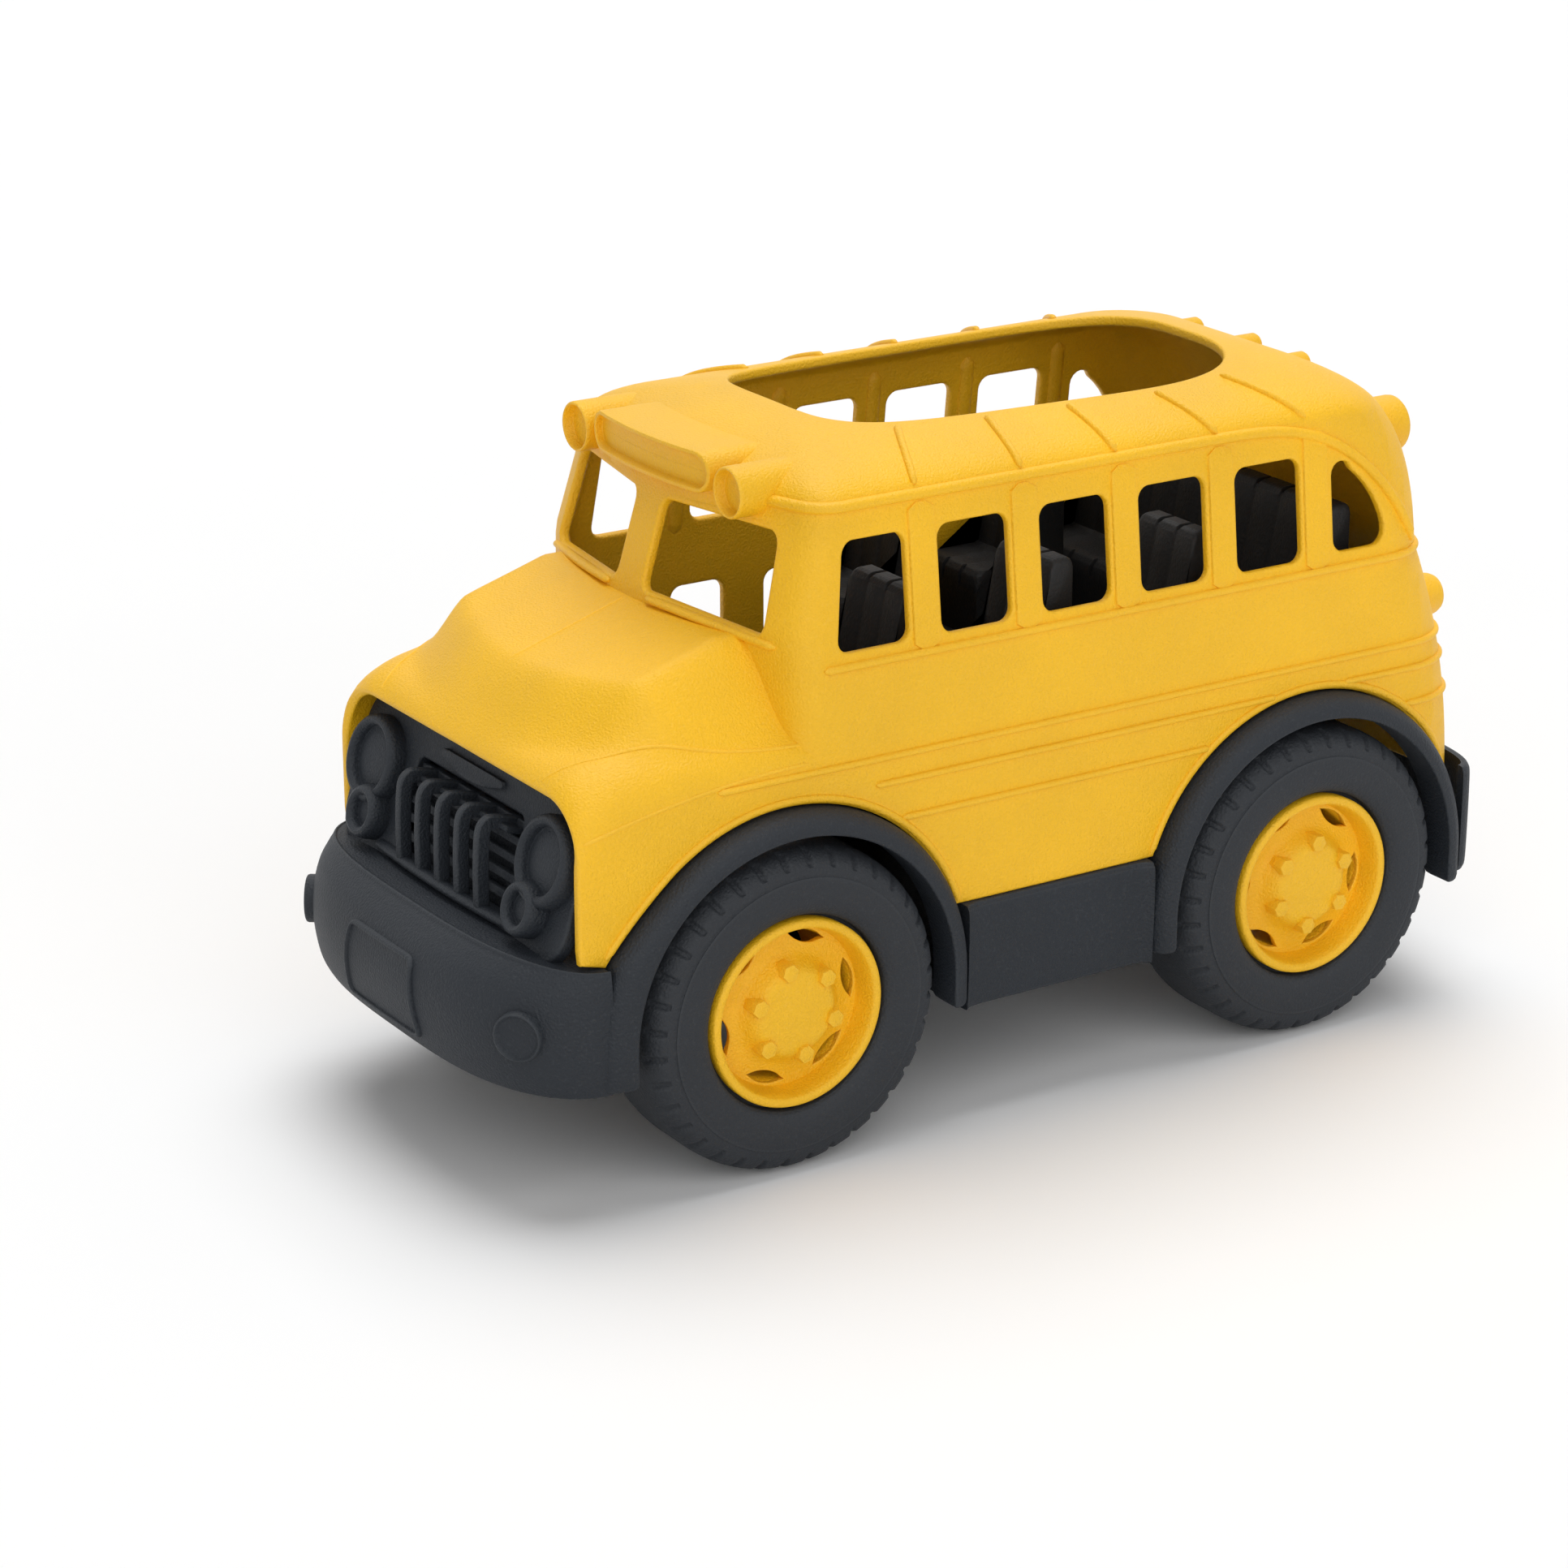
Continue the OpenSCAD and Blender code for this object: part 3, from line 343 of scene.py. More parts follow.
low_z = SILL_Z + EDGE_R
half = np.sqrt((ARCH_R + EDGE_R) ** 2 - (low_z - AXLE_Z) ** 2)
tip_half = np.sqrt((ARCH_R + EDGE_R) ** 2 - (TIP_Z - TIP_FALL + EDGE_R - AXLE_Z) ** 2)
rear_zs = two_runs(low_z, BELT_Z, GUTTER_Z, 16, 13)
hood_xs = CORNER_X + (LIP_X - CORNER_X) * hood_t
rear_s = two_runs(0, 0.4, 1, 14, 12)
SEAM = 6
rear_edge = coords(rear_curve(rear_s[SEAM], rear_zs)[0], rear_zs)
tail_x = rear_curve(rear_s[:SEAM], GUTTER_Z)[0]
bottom = np.concatenate([
    arch_line(REAR_AXLE, REAR_AXLE - half, REAR_AXLE + half),
    coords(np.linspace(REAR_AXLE + half, FRONT_AXLE - half, 14), low_z)[1:-1],
    arch_line(FRONT_AXLE, FRONT_AXLE - half, FRONT_AXLE + tip_half),
    [[LIP_X, TIP_Z + EDGE_R]]])
side_outline = np.concatenate([
    bottom,
    coords(LIP_X, np.linspace(TIP_Z + EDGE_R, lip_roll_z, 9))[1:-1],
    coords(hood_xs, ledge_z(hood_xs) - roll_r(hood_xs))[::-1],
    coords(corner_x, heights)[1:],
    coords(top_x, GUTTER_Z)[1:-1],
    coords(tail_x, GUTTER_Z),
    rear_edge[::-1]])


def window_loops(grow, right):
    """Edges of the openings in one side wall: five windows, the quarter light, two door lights."""
    loops = [rounded(31.1 - x, 49.5 - x, 115, 138.8, 3, grow, 2.6 if x == 0 else 0.0)
             for x in WINDOW_PITCH * np.arange(WINDOWS)]
    loops.append(quarter_light(grow))
    if right:
        loops += [rounded(x - DOOR_HW, x + DOOR_HW, DOOR_Z0, DOOR_Z1, 3, grow) for x in DOOR_LIGHTS]
    return loops


def side_patch(sign):
    """One side wall from the tail to the lip: the flat panel carried onto the wall."""
    right = sign < 0
    flat, tris = panel(side_outline, window_loops(EDGE_R, right), 5.0, window_loops(EDGE_R + GUARD, right))
    x, z = flat[:, 0], flat[:, 1]
    pts = coords(x, sign * wall_y(x, z), z)
    return pts, (tris[:, ::-1] if sign > 0 else tris)


front_s = two_runs(0, 0.8, 1, 25, 12)
FRONT_SPAN = 66.0


def screen_foot(s):
    """Foot of the windscreen wall, just under the bonnet surface that it stands on."""
    x, y = front_curve(s, FOOT_Z)
    return 90 + (np.minimum(hood_z(x, y), 117.5) - 1.6 - 90) * smooth((1 - s) / 0.07)


pane_s = np.linspace(0, 0.8, 200)
pane_y = front_curve(pane_s, 130.0)[1]


def pane_loop(sign, grow):
    """Edge of one windscreen pane, laid out on the unrolled front wall."""
    s0, s1 = np.interp([5.4, 42.0], pane_y, pane_s) * FRONT_SPAN
    line = rounded(s0, s1, PANE_Z0, PANE_Z1, 3, grow)
    share = clamp01((line[:, 0] - s0) / (s1 - s0))
    line[:, 1] -= 2.2 * share ** 2 * clamp01((PANE_Z1 - line[:, 1]) / PANE_H)
    return line if sign > 0 else line[::-1] * [-1, 1]


def front_patch():
    """Windscreen wall and both front corners: unrolled panel with two panes, bent to the plan curve."""
    foot = screen_foot(front_s)
    lower = coords(front_s * FRONT_SPAN, foot)
    upper = coords(front_s * FRONT_SPAN, GUTTER_Z)
    end = coords(FRONT_SPAN, heights)
    right = [-1, 1]
    outline = np.concatenate([
        lower[:-1], end, upper[-2::-1], (upper * right)[1:-1], (end * right)[::-1], (lower * right)[-2:0:-1]])
    panes = [pane_loop(s, EDGE_R) for s in (1, -1)]
    flat, tris = panel(outline, panes, 3.0, [pane_loop(s, EDGE_R + GUARD) for s in (1, -1)])
    s = flat[:, 0] / FRONT_SPAN
    x, y = front_curve(np.abs(s), flat[:, 1])
    return coords(x, np.sign(s) * y, flat[:, 1]), tris


def rear_patch():
    """Back wall from the seam in one rear corner to the other: plan curves, one at each height."""
    x, y = rear_curve(rear_s[None, SEAM:], rear_zs[:, None])
    x, y = np.concatenate([x, x[:, -2::-1]], 1), np.concatenate([y, -y[:, -2::-1]], 1)
    return coords(x, y, rear_zs[:, None]).reshape(-1, 3), quads(*x.shape)


def ring(z):
    """Closed plan outline at height z, with the same points along it at every height."""
    fx, fy = front_curve(front_s[None], z)
    share = (top_x - top_x[0]) / (top_x[-1] - top_x[0])
    hw = side_y(z)
    r = np.minimum(REAR_R, hw * 0.6)
    x0, x1 = fx[:, -1:], back_x(z) + r
    sx = x0 + (x1 - x0) * share[None]
    sy = np.broadcast_to(hw, sx.shape)
    rx, ry = rear_curve(rear_s[None], z)
    x = np.concatenate([fx, sx[:, 1:-1], rx], 1)
    y = np.concatenate([fy, sy[:, 1:-1], ry], 1)
    return np.concatenate([x, x[:, -2:0:-1]], 1), np.concatenate([y, -y[:, -2:0:-1]], 1)


def roof_hole(x, y):
    """Negative inside the roof opening: a rounded outline, wider and rounder towards the back."""
    t = clamp01((34 - x) / 116)
    p = 5.0 - 1.8 * t
    u = np.abs((x + 24) / 58.0)
    w = np.abs(y) / (29 + 5.5 * t)
    return u ** p + w ** p - 1


def roof_levels(rows):
    """Rings of the roof from the gutter to the edge of the opening: for every point of the plan
    outline the height is found where its line up the dome meets the edge."""
    n = ring(np.array([[GUTTER_Z]]))[0].shape[1]
    lo, hi = np.zeros(n), np.full(n, np.pi / 2 - 0.02)
    pick = np.arange(n)
    for _ in range(30):
        mid = (lo + hi) / 2
        x, y = ring((GUTTER_Z + ROOF_H * np.sin(mid))[:, None])
        out = roof_hole(x[pick, pick], y[pick, pick]) > 0
        lo, hi = np.where(out, mid, lo), np.where(out, hi, mid)
    a = lo[None] * np.linspace(0, 1, rows)[:, None]
    z = GUTTER_Z + ROOF_H * np.sin(a)
    x, y = ring(z.reshape(-1, 1))
    k = np.arange(z.size)
    j = np.tile(pick, rows)
    return coords(x[k, j].reshape(rows, n), y[k, j].reshape(rows, n), z)


roof = roof_levels(16)


def hood_patch():
    """Bonnet from the windscreen to the lip: sections side by side, the first one hidden in the wall."""
    q = two_runs(0, 0.35, 1, 14, 40)
    y_rear = hood_section(q, CORNER_X)[0]
    wx, wy = front_curve(np.linspace(0, 1, 400), FOOT_Z)
    x_rear = np.interp(y_rear, wy, wx) - 1.2 * smooth(q / 0.1)
    x_rear[0] = CORNER_X
    x = x_rear[None] + (LIP_X - x_rear)[None] * hood_t[:, None]
    y, z = hood_section(q, x)
    left = coords(x, y, z)
    right = left[:, -2::-1] * [1, -1, 1]
    both = np.concatenate([left, right], 1)
    return both.reshape(-1, 3), quads(*both.shape[:2])


def tube(sections, ends=True):
    """Closed solid through a row of closed sections; each end is closed on its middle, or the last
    section runs on into the first."""
    s = np.asarray(sections, float)
    if ends:
        caps = s[[0, -1]].mean(1, keepdims=True) * np.ones((1, s.shape[1], 1))
        s = np.concatenate([caps[:1], s, caps[1:]])
    return outward(*weld([(s.reshape(-1, 3), quads(s.shape[0], s.shape[1], not ends, True))]))


def bead(path, normal, half_w, rise, flat=1.0):
    """Rib lying on a surface: a rounded profile, half_w to each side and rise high, carried along
    the path, its foot sunk by half a millimetre; the normal says which way it stands, a small flat
    squares its top, and its ends run out to little."""
    path, normal = np.asarray(path, float), np.asarray(normal, float)
    normal = np.broadcast_to(normal, path.shape)
    along = np.gradient(path, axis=0)
    across = unit(np.cross(along, normal))
    a = np.linspace(0, np.pi, 9)
    side = np.concatenate([half_w * np.cos(a), [-half_w, half_w]])
    up = np.concatenate([rise * np.sin(a) ** flat, [-0.5, -0.5]])
    fade = np.ones(len(path))
    fade[[0, -1]] = 0.35
    return tube(path[:, None] + across[:, None] * (side[None, :, None] * fade[:, None, None])
                + normal[:, None] * (up[None, :, None] * fade[:, None, None]))


def resample(path, count):
    """The same line with points at equal distances along it."""
    d = np.concatenate([[0], np.cumsum(np.linalg.norm(np.diff(path, axis=0), axis=1))])
    t = np.linspace(0, d[-1], count)
    return coords(*(np.interp(t, d, axis) for axis in path.T))


def worn(points, tris):
    """Share of wear at each point: how fast the normal turns outwards along the edges round it, per
    millimetre, from nothing on faces to 1 on edges rounded to less than about a millimetre."""
    n = vertex_normals(points, tris)
    i, j = np.concatenate([tris[:, [0, 1]], tris[:, [1, 2]], tris[:, [2, 0]]]).T
    d = points[j] - points[i]
    turn = np.einsum("ij,ij->i", n[j] - n[i], d) / np.maximum(np.einsum("ij,ij->i", d, d), 1e-6)
    total, count = np.zeros(len(points)), np.zeros(len(points))
    np.add.at(total, i, turn)
    np.add.at(count, i, 1)
    return smooth((total / np.maximum(count, 1) - 0.12) / 0.6)


def add_object(name, data):
    """A new object in the scene with its data."""
    obj = bpy.data.objects.new(name, data)
    bpy.context.collection.objects.link(obj)
    return obj


def piece(name, body, material, parts, sharp=42):
    """A mesh object from solids in millimetres, smooth but for edges sharper than the angle; the
    wear of its edges goes with it as an attribute."""
    points, tris = joined(parts)
    mesh = bpy.data.meshes.new(name)
    mesh.vertices.add(len(points))
    mesh.vertices.foreach_set("co", (points * MM).astype(np.float32).ravel())
    mesh.loops.add(tris.size)
    mesh.loops.foreach_set("vertex_index", tris.astype(np.int32).ravel())
    mesh.polygons.add(len(tris))
    mesh.polygons.foreach_set("loop_start", np.arange(0, tris.size, 3, dtype=np.int32))
    mesh.polygons.foreach_set("use_smooth", np.ones(len(tris), bool))
    mesh.update(calc_edges=True)
    mesh.validate()
    mesh.set_sharp_from_angle(angle=np.radians(sharp))
    wear = mesh.attributes.new("wear", "FLOAT", "POINT")
    wear.data.foreach_set("value", np.concatenate([worn(v, f) for v, f in parts]).astype(np.float32))
    obj = add_object(name, mesh)
    mesh.materials.append(material)
    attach(obj, body)
    return obj


def add_node(tree, kind, constants={}, operation=None):
    """A new shader node with its operation and the constants of its sockets."""
    n = tree.nodes.new("ShaderNode" + kind)
    if operation:
        n.operation = operation
    for socket, value in constants.items():
        n.inputs[socket].default_value = value
    return n


def links(tree, *pairs):
    """Joins sockets: each pair names a node and its output, then a node and its input."""
    for a, out, b, into in pairs:
        tree.links.new(a.outputs[out], b.inputs[into])


def grain_group():
    """Moulded grain: a fine noise gives the height of the etched tool surface and a light mottle, a
    broad noise shifts the tone, sparse small cells give pale specks, and worn edges turn paler."""
    g = bpy.data.node_groups.new("moulded_grain", "ShaderNodeTree")
    for way, names in (("INPUT", ("Colour", "Pale", "Grain size", "Specks", "Tone shift", "Roughness")),
                       ("OUTPUT", ("Colour", "Roughness", "Height"))):
        for name in names:
            kind = "NodeSocketColor" if name in ("Colour", "Pale") else "NodeSocketFloat"
            g.interface.new_socket(name, in_out=way, socket_type=kind)
    gin, gout = g.nodes.new("NodeGroupInput"), g.nodes.new("NodeGroupOutput")
    coord = add_node(g, "TexCoord")
    fine = add_node(g, "TexNoise", {"Detail": 3.0})
    broad = add_node(g, "TexNoise", {"Scale": 28.0, "Detail": 4.0})
    cells = add_node(g, "TexNoise", {"Scale": 1500.0, "Detail": 0.0})
    mottle = add_node(g, "Math", {1: 0.5}, "MULTIPLY_ADD")
    centre = add_node(g, "Math", {1: 0.75}, "SUBTRACT")
    tone = add_node(g, "Math", {2: 1.0}, "MULTIPLY_ADD")
    shade = add_node(g, "HueSaturation")
    speck = add_node(g, "MapRange", {"From Min": 0.66, "From Max": 0.76})
    amount = add_node(g, "Math", operation="MULTIPLY")
    wear = add_node(g, "Attribute")
    wear.attribute_name = "wear"
    rubbed = add_node(g, "Math", operation="MULTIPLY")
    share = add_node(g, "Math", {1: 0.22}, "MULTIPLY")
    pale = add_node(g, "Math", operation="MAXIMUM")
    mix = add_node(g, "Mix")
    mix.data_type = "RGBA"
    rough = add_node(g, "Math", {1: 0.12}, "MULTIPLY_ADD")
    links(g, *((coord, "Object", t, "Vector") for t in (fine, broad, cells)))
    links(g, (gin, "Grain size", fine, "Scale"), (broad, "Fac", mottle, 2), (fine, "Fac", mottle, 0),
          (mottle, 0, centre, 0), (centre, 0, tone, 0), (gin, "Tone shift", tone, 1),
          (tone, 0, shade, "Value"), (gin, "Colour", shade, "Color"), (cells, "Fac", speck, "Value"),
          (speck, "Result", amount, 0), (gin, "Specks", amount, 1), (wear, "Fac", rubbed, 0),
          (broad, "Fac", rubbed, 1), (rubbed, 0, share, 0), (amount, 0, pale, 0), (share, 0, pale, 1),
          (pale, 0, mix, "Factor"), (shade, "Color", mix, "A"), (gin, "Pale", mix, "B"),
          (mix, "Result", gout, "Colour"), (centre, 0, rough, 0), (gin, "Roughness", rough, 2),
          (rough, 0, gout, "Roughness"), (fine, "Fac", gout, "Height"))
    return g


grain = grain_group()


def moulded(name, colour, pale, roughness, grain_size, specks, tone, bump, specular=0.4):
    """A moulded plastic: the grain group drives colour, roughness and the height of the bump."""
    m = bpy.data.materials.new(name)
    m.use_nodes = True
    t = m.node_tree
    bsdf = t.nodes["Principled BSDF"]
    bsdf.inputs["Specular IOR Level"].default_value = specular
    g = add_node(t, "Group")
    g.node_tree = grain
    for key, value in (("Colour", (*colour, 1)), ("Pale", (*pale, 1)), ("Grain size", grain_size),
                       ("Specks", specks), ("Tone shift", tone), ("Roughness", roughness)):
        g.inputs[key].default_value = value
    height = add_node(t, "Bump", {"Strength": bump, "Distance": 0.0003})
    links(t, (g, "Colour", bsdf, "Base Color"), (g, "Roughness", bsdf, "Roughness"),
          (g, "Height", height, "Height"), (height, "Normal", bsdf, "Normal"))
    return m


yellow = moulded("yellow_plastic", (0.93, 0.515, 0.008), (1.0, 0.66, 0.14), 0.46, 1900.0, 0.08, 0.28, 1.0)

sheet = weld([side_patch(1), side_patch(-1), front_patch(), rear_patch(), hood_patch(),
              (roof.reshape(-1, 3), quads(*roof.shape[:2], False, True))])
shell_parts = [outward(*thicken(*sheet, WALL, EDGE_R))]


def on_side(sign, x, z):
    """Points on one side wall with the wall's normal there, from small steps along and up."""
    p = coords(x, wall_y(x, z), z)
    dx = coords(x + STEP, wall_y(x + STEP, z), z) - p
    dz = coords(x, wall_y(x, z + STEP), z + STEP) - p
    n = unit(np.cross(dz, dx))
    return p * [1, sign, 1], n * [1, sign, 1]


# Rails and ribs: thin beads moulded onto the shell, gutter and belt rail, three rub rails, ribs
# over the roof, raised strips on the window posts, and beads round the wheel arches.
POSTS_X = 26.85 - WINDOW_PITCH * np.arange(WINDOWS)
RAILS = [(BELT_Z, 53.4, 0.9, 0.95), (89.9, 80, 0.8, 0.85), (83.9, 40, 0.8, 0.85), (75.2, 34, 0.8, 0.85)]


def plan_normal(path):
    """Outward normal of a level line that runs backwards along the left side: its direction in
    plan turned by a quarter."""
    d = np.gradient(path, axis=0)
    return unit(coords(d[:, 1], -d[:, 0], 0))


def level_line(z, x_end):
    """Level line on the left half of the body from length x_end round to the middle of the back."""
    x = np.arange(x_end, float(back_x(z)) + REAR_R, -1.0)
    rx, ry = rear_curve(np.linspace(0, 1, 40), z)
    x, y = np.concatenate([x, rx]), np.concatenate([np.full_like(x, side_y(z)), ry])
    return coords(x, y, z)


def stretches(path, normal, keep):
    """The runs of a path where keep holds, with their normals."""
    cuts = np.flatnonzero(np.diff(keep.astype(int))) + 1
    split = zip(np.split(path, cuts), np.split(normal, cuts), np.split(keep, cuts))
    return [(p, n) for p, n, k in split if k[0] and len(p) > 3]


def hood_line(x, y):
    """A line on the bonnet with the surface normal along it, from small steps both ways."""
    p = coords(x, y, hood_z(x, y))
    gx = (hood_z(x + STEP, y) - p[:, 2]) / STEP
    gy = (hood_z(x, y + STEP) - p[:, 2]) / STEP
    return p, unit(coords(-gx, -gy, 1))


def gutter(flip):
    """Bead along the foot of the roof: from the middle of the front along the side, then falling
    with a power of the distance behind the bend."""
    x = two_runs(corner_x[-1], BEND_X, -111, 60, 40)[1:]
    p, n = on_side(1, x, GUTTER_Z + 0.3 - 34 * clamp01((BEND_X - x) / 62) ** 3.4)
    fx, fy = front_curve(np.linspace(0.03, 1, 60), GUTTER_Z)
    front = coords(fx, fy, GUTTER_Z + 0.3)
    return bead(np.concatenate([front, p]) * flip, np.concatenate([plan_normal(front), n]) * flip, 1.25, 1.25)


def rails(sign, flip):
    """Level beads round the side and the back, left out over the wheel arches and the door lights;
    each rail has its height, front end, half width and rise."""
    beads = []
    for z, x_end, half_w, rise in RAILS:
        path = level_line(z, x_end)
        keep = np.all([np.hypot(path[:, 0] - x, z - AXLE_Z) > ARCH_R + 1.7 for x in AXLES.values()], 0)
        if sign < 0 and DOOR_Z0 < z < DOOR_Z1:
            keep &= np.min(np.abs(path[:, :1] - DOOR_LIGHTS), 1) > 9.2
        beads += [bead(p * flip, n * flip, half_w, rise) for p, n in stretches(path, plan_normal(path), keep)]
    return beads


def arch_bead(sign, axle_x, foot):
    """Bead round a wheel arch, from its front foot, so many degrees up, over to the rear one."""
    a = np.radians(np.linspace(foot, 161, 70))
    r = ARCH_R + 1.3 + swell(axle_x, a)
    return bead(*on_side(sign, axle_x + r * np.cos(a), AXLE_Z + r * np.sin(a)), 0.9, 0.7)


def post(sign, x):
    """Window post: a flat strip outside, a rib inside, and a rib that goes on over the roof."""
    p, n = on_side(sign, x, np.linspace(112.6, 144.6, 24))
    column = np.argmin(np.abs(roof[0, :, 0] - x) + 100 * (roof[0, :, 1] * sign < 0))
    line = resample(roof[:, column], 24)[2:-2]
    up = coords(0, line[:, 1] / GUTTER_HW ** 2, (line[:, 2] - GUTTER_Z) / ROOF_H ** 2)
    return [bead(p, n, 3.5, 0.5, flat=0.12), bead(p - n * (WALL - 0.2), -n, 2.0, 1.1),
            bead(line, unit(up), 0.9, 0.95)]


def bonnet_lines(sign):
    """Two fine lines along the bonnet, one beside the crown and one low on the shoulder roll."""
    x = np.linspace(112.6, 56, 40)
    p, n = hood_line(x, sign * (36 + 15.2 * (1 - ((x - 56) / 56.6) ** 2.2)))
    x = np.linspace(112.4, 57, 40)
    r, z = roll_r(x), 92.2 - 7.8 * ((x - 52.5) / 60.7) ** 2.2
    up = np.maximum(z - ledge_z(x) + r, 0)
    out = np.sqrt(r * r - up * up)
    low, low_n = coords(x, sign * (BODY_HW - r + out), z), coords(0, sign * out / r, up / r)
    return [bead(p, n, 0.4, 0.22), bead(low, low_n, 0.4, 0.22)]


def screen_bead(flip):
    """Bead under one half of the windscreen, falling with the square of the way to its side."""
    s = np.linspace(0.13, 0.78, 30)
    wx, wy = front_curve(s, 118.8)
    path = coords(wx, wy, 119.2 - 2.4 * ((s - 0.13) / 0.65) ** 2)
    return bead(path * flip, plan_normal(path) * flip, 0.9, 1.1)


for sign in (1, -1):
    flip = np.array([1, sign, 1])
    shell_parts += [gutter(flip), *rails(sign, flip),
                    arch_bead(sign, REAR_AXLE, 19), arch_bead(sign, FRONT_AXLE, 25)]
    for x in POSTS_X:
        shell_parts += post(sign, x)
    shell_parts += [*bonnet_lines(sign), screen_bead(flip)]
shell_parts.append(bead(*hood_line(np.linspace(71, 99, 30), 0), 0.5, 0.22))

# Lamps and sign box: bosses moulded with the shell. Front lamps have a sunk face and a fairing that
# runs back into the roof, the sign box between them is bare, and plain stubs stand at the back.
LAMP_Y = 32.0


def boss(face_x, y, z, r, rows, way=1, lean=0.0):
    """Rings one behind the other: each row gives the distance from the face along the bus and the
    share of the radius; the last ring leans with the wall it ends in."""
    a = np.radians(np.arange(0, 360, 7.5))
    return tube([coords(face_x - way * (d + lean * np.sin(a) * (d == rows[-1][0])), y + r * k * np.cos(a),
                        z + r * k * np.sin(a)) for d, k in rows])


CUP_ROWS = [(2.4, 0.03), (2.4, 0.78), (2.1, 0.83), (0.3, 0.86), (0, 0.9), (0, 0.95), (0.25, 0.99), (0.7, 1),
            (12, 1), (24, 0.97)]
STUB_ROWS = [(0, 0.05), (0, 0.8), (0.25, 0.91), (0.8, 0.98), (1.6, 1), (7.9, 1)]
MARKER_ROWS = [(0, 0.05), (0, 0.6), (0.3, 0.85), (1.0, 1), (4.8, 1)]
BUTTON_ROWS = [(0, 0.05), (0.1, 0.55), (0.7, 0.72), (1.8, 0.8), (9, 1)]
for sign in (1, -1):
    shell_parts += [boss(64.2, sign * LAMP_Y, 147.8, 5.7, CUP_ROWS),
                    boss(-120.0, sign * LAMP_Y, 136.6, 6.7, STUB_ROWS, way=-1, lean=3.0),
                    boss(-130.6, sign * 37, 94.5, 6.2, BUTTON_ROWS, way=-1)]
for y in (-20, 0, 20):
    shell_parts.append(boss(-104.0 + 0.004 * y * y, y, 150.8, 2.8, MARKER_ROWS, way=-1, lean=3.6))
SIGN_HW, SIGN_Z, SIGN_H, SIGN_X = 24.2, 149.6, 4.6, 66.2


def stadium(grow, squeeze):
    """Outline of the sign box with round ends, grown by a margin and squeezed towards its middle
    line: the upper half from right to left, then its mirror image back."""
    a = np.radians(np.linspace(0, 90, 16))
    straight = np.linspace(SIGN_HW - SIGN_H, SIGN_H - SIGN_HW, 32)[1:-1]
    y = np.concatenate([SIGN_HW - SIGN_H + (SIGN_H + grow) * np.cos(a), straight,
                        SIGN_H - SIGN_HW - (SIGN_H + grow) * np.cos(a[::-1])])
    z = (SIGN_H + grow) * squeeze * np.concatenate([np.sin(a), np.ones_like(straight), np.sin(a[::-1])])
    return coords(np.concatenate([y, y[-2:0:-1]]), SIGN_Z + np.concatenate([z, -z[-2:0:-1]]))


sign_rows = [(1.8, -1.5, 0.005), (1.8, -1.35, 1), (1.6, -1.15, 1), (0.2, -1.0, 1), (0, -0.8, 1), (0, -0.35, 1),
             (0.12, -0.12, 1), (0.45, 0, 1), (12, 0, 1), (22, -0.6, 1)]
sign_lines = [(d, stadium(grow, squeeze)) for d, grow, squeeze in sign_rows]
shell_parts.append(tube([coords(SIGN_X - d - 0.0042 * l[:, 0] ** 2, l[:, 0], l[:, 1]) for d, l in sign_lines]))

bus_shell = piece("bus_shell", "bus", yellow, shell_parts)
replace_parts(bus_shell, "body_shell")

# Fenders: one charcoal moulding over each wheel, a half ring with a rolled outer lip and a straight
# leg at each end, pushed up behind the edge of the shell.
charcoal = moulded("charcoal_plastic", (0.014, 0.0175, 0.023), (0.10, 0.11, 0.12), 0.57, 1700.0, 0.08, 0.6,
                   1.0, 0.3)


def curve(points, count):
    """Smooth line through given points (Catmull-Rom): on each span a cubic that leaves and
    reaches its ends in the direction of the neighbouring points."""
    p = np.asarray(points, float)
    ext = np.concatenate([2 * p[:1] - p[1:2], p, 2 * p[-1:] - p[-2:-1]])
    u = np.linspace(0, len(p) - 1, count)
    i = np.minimum(u.astype(int), len(p) - 2)
    t = (u - i)[:, None]
    a, b, c, d = ext[i], ext[i + 1], ext[i + 2], ext[i + 3]
    return 0.5 * (2 * b + (c - a) * t + (2 * a - 5 * b + 4 * c - d) * t ** 2 + (3 * b - a - 3 * c + d) * t ** 3)


FENDER_R0, FENDER_R1, FENDER_IN, FENDER_Y, FENDER_Z = 40.5, 45.7, 50.1, 59.0, 29.5
arc = np.radians(np.linspace(0, 90, 7))
fender_section = np.concatenate([
    [[FENDER_R0, FENDER_IN], [FENDER_R1, FENDER_IN], [FENDER_R1, 54.0]],
    coords(FENDER_R1 - 4.4 * (1 - np.cos(arc)), FENDER_Y - 5.0 * (1 - np.sin(arc))),
    coords(FENDER_R0 + 0.6 * (1 - np.sin(arc)), FENDER_Y - 0.6 * (1 - np.cos(arc)))])


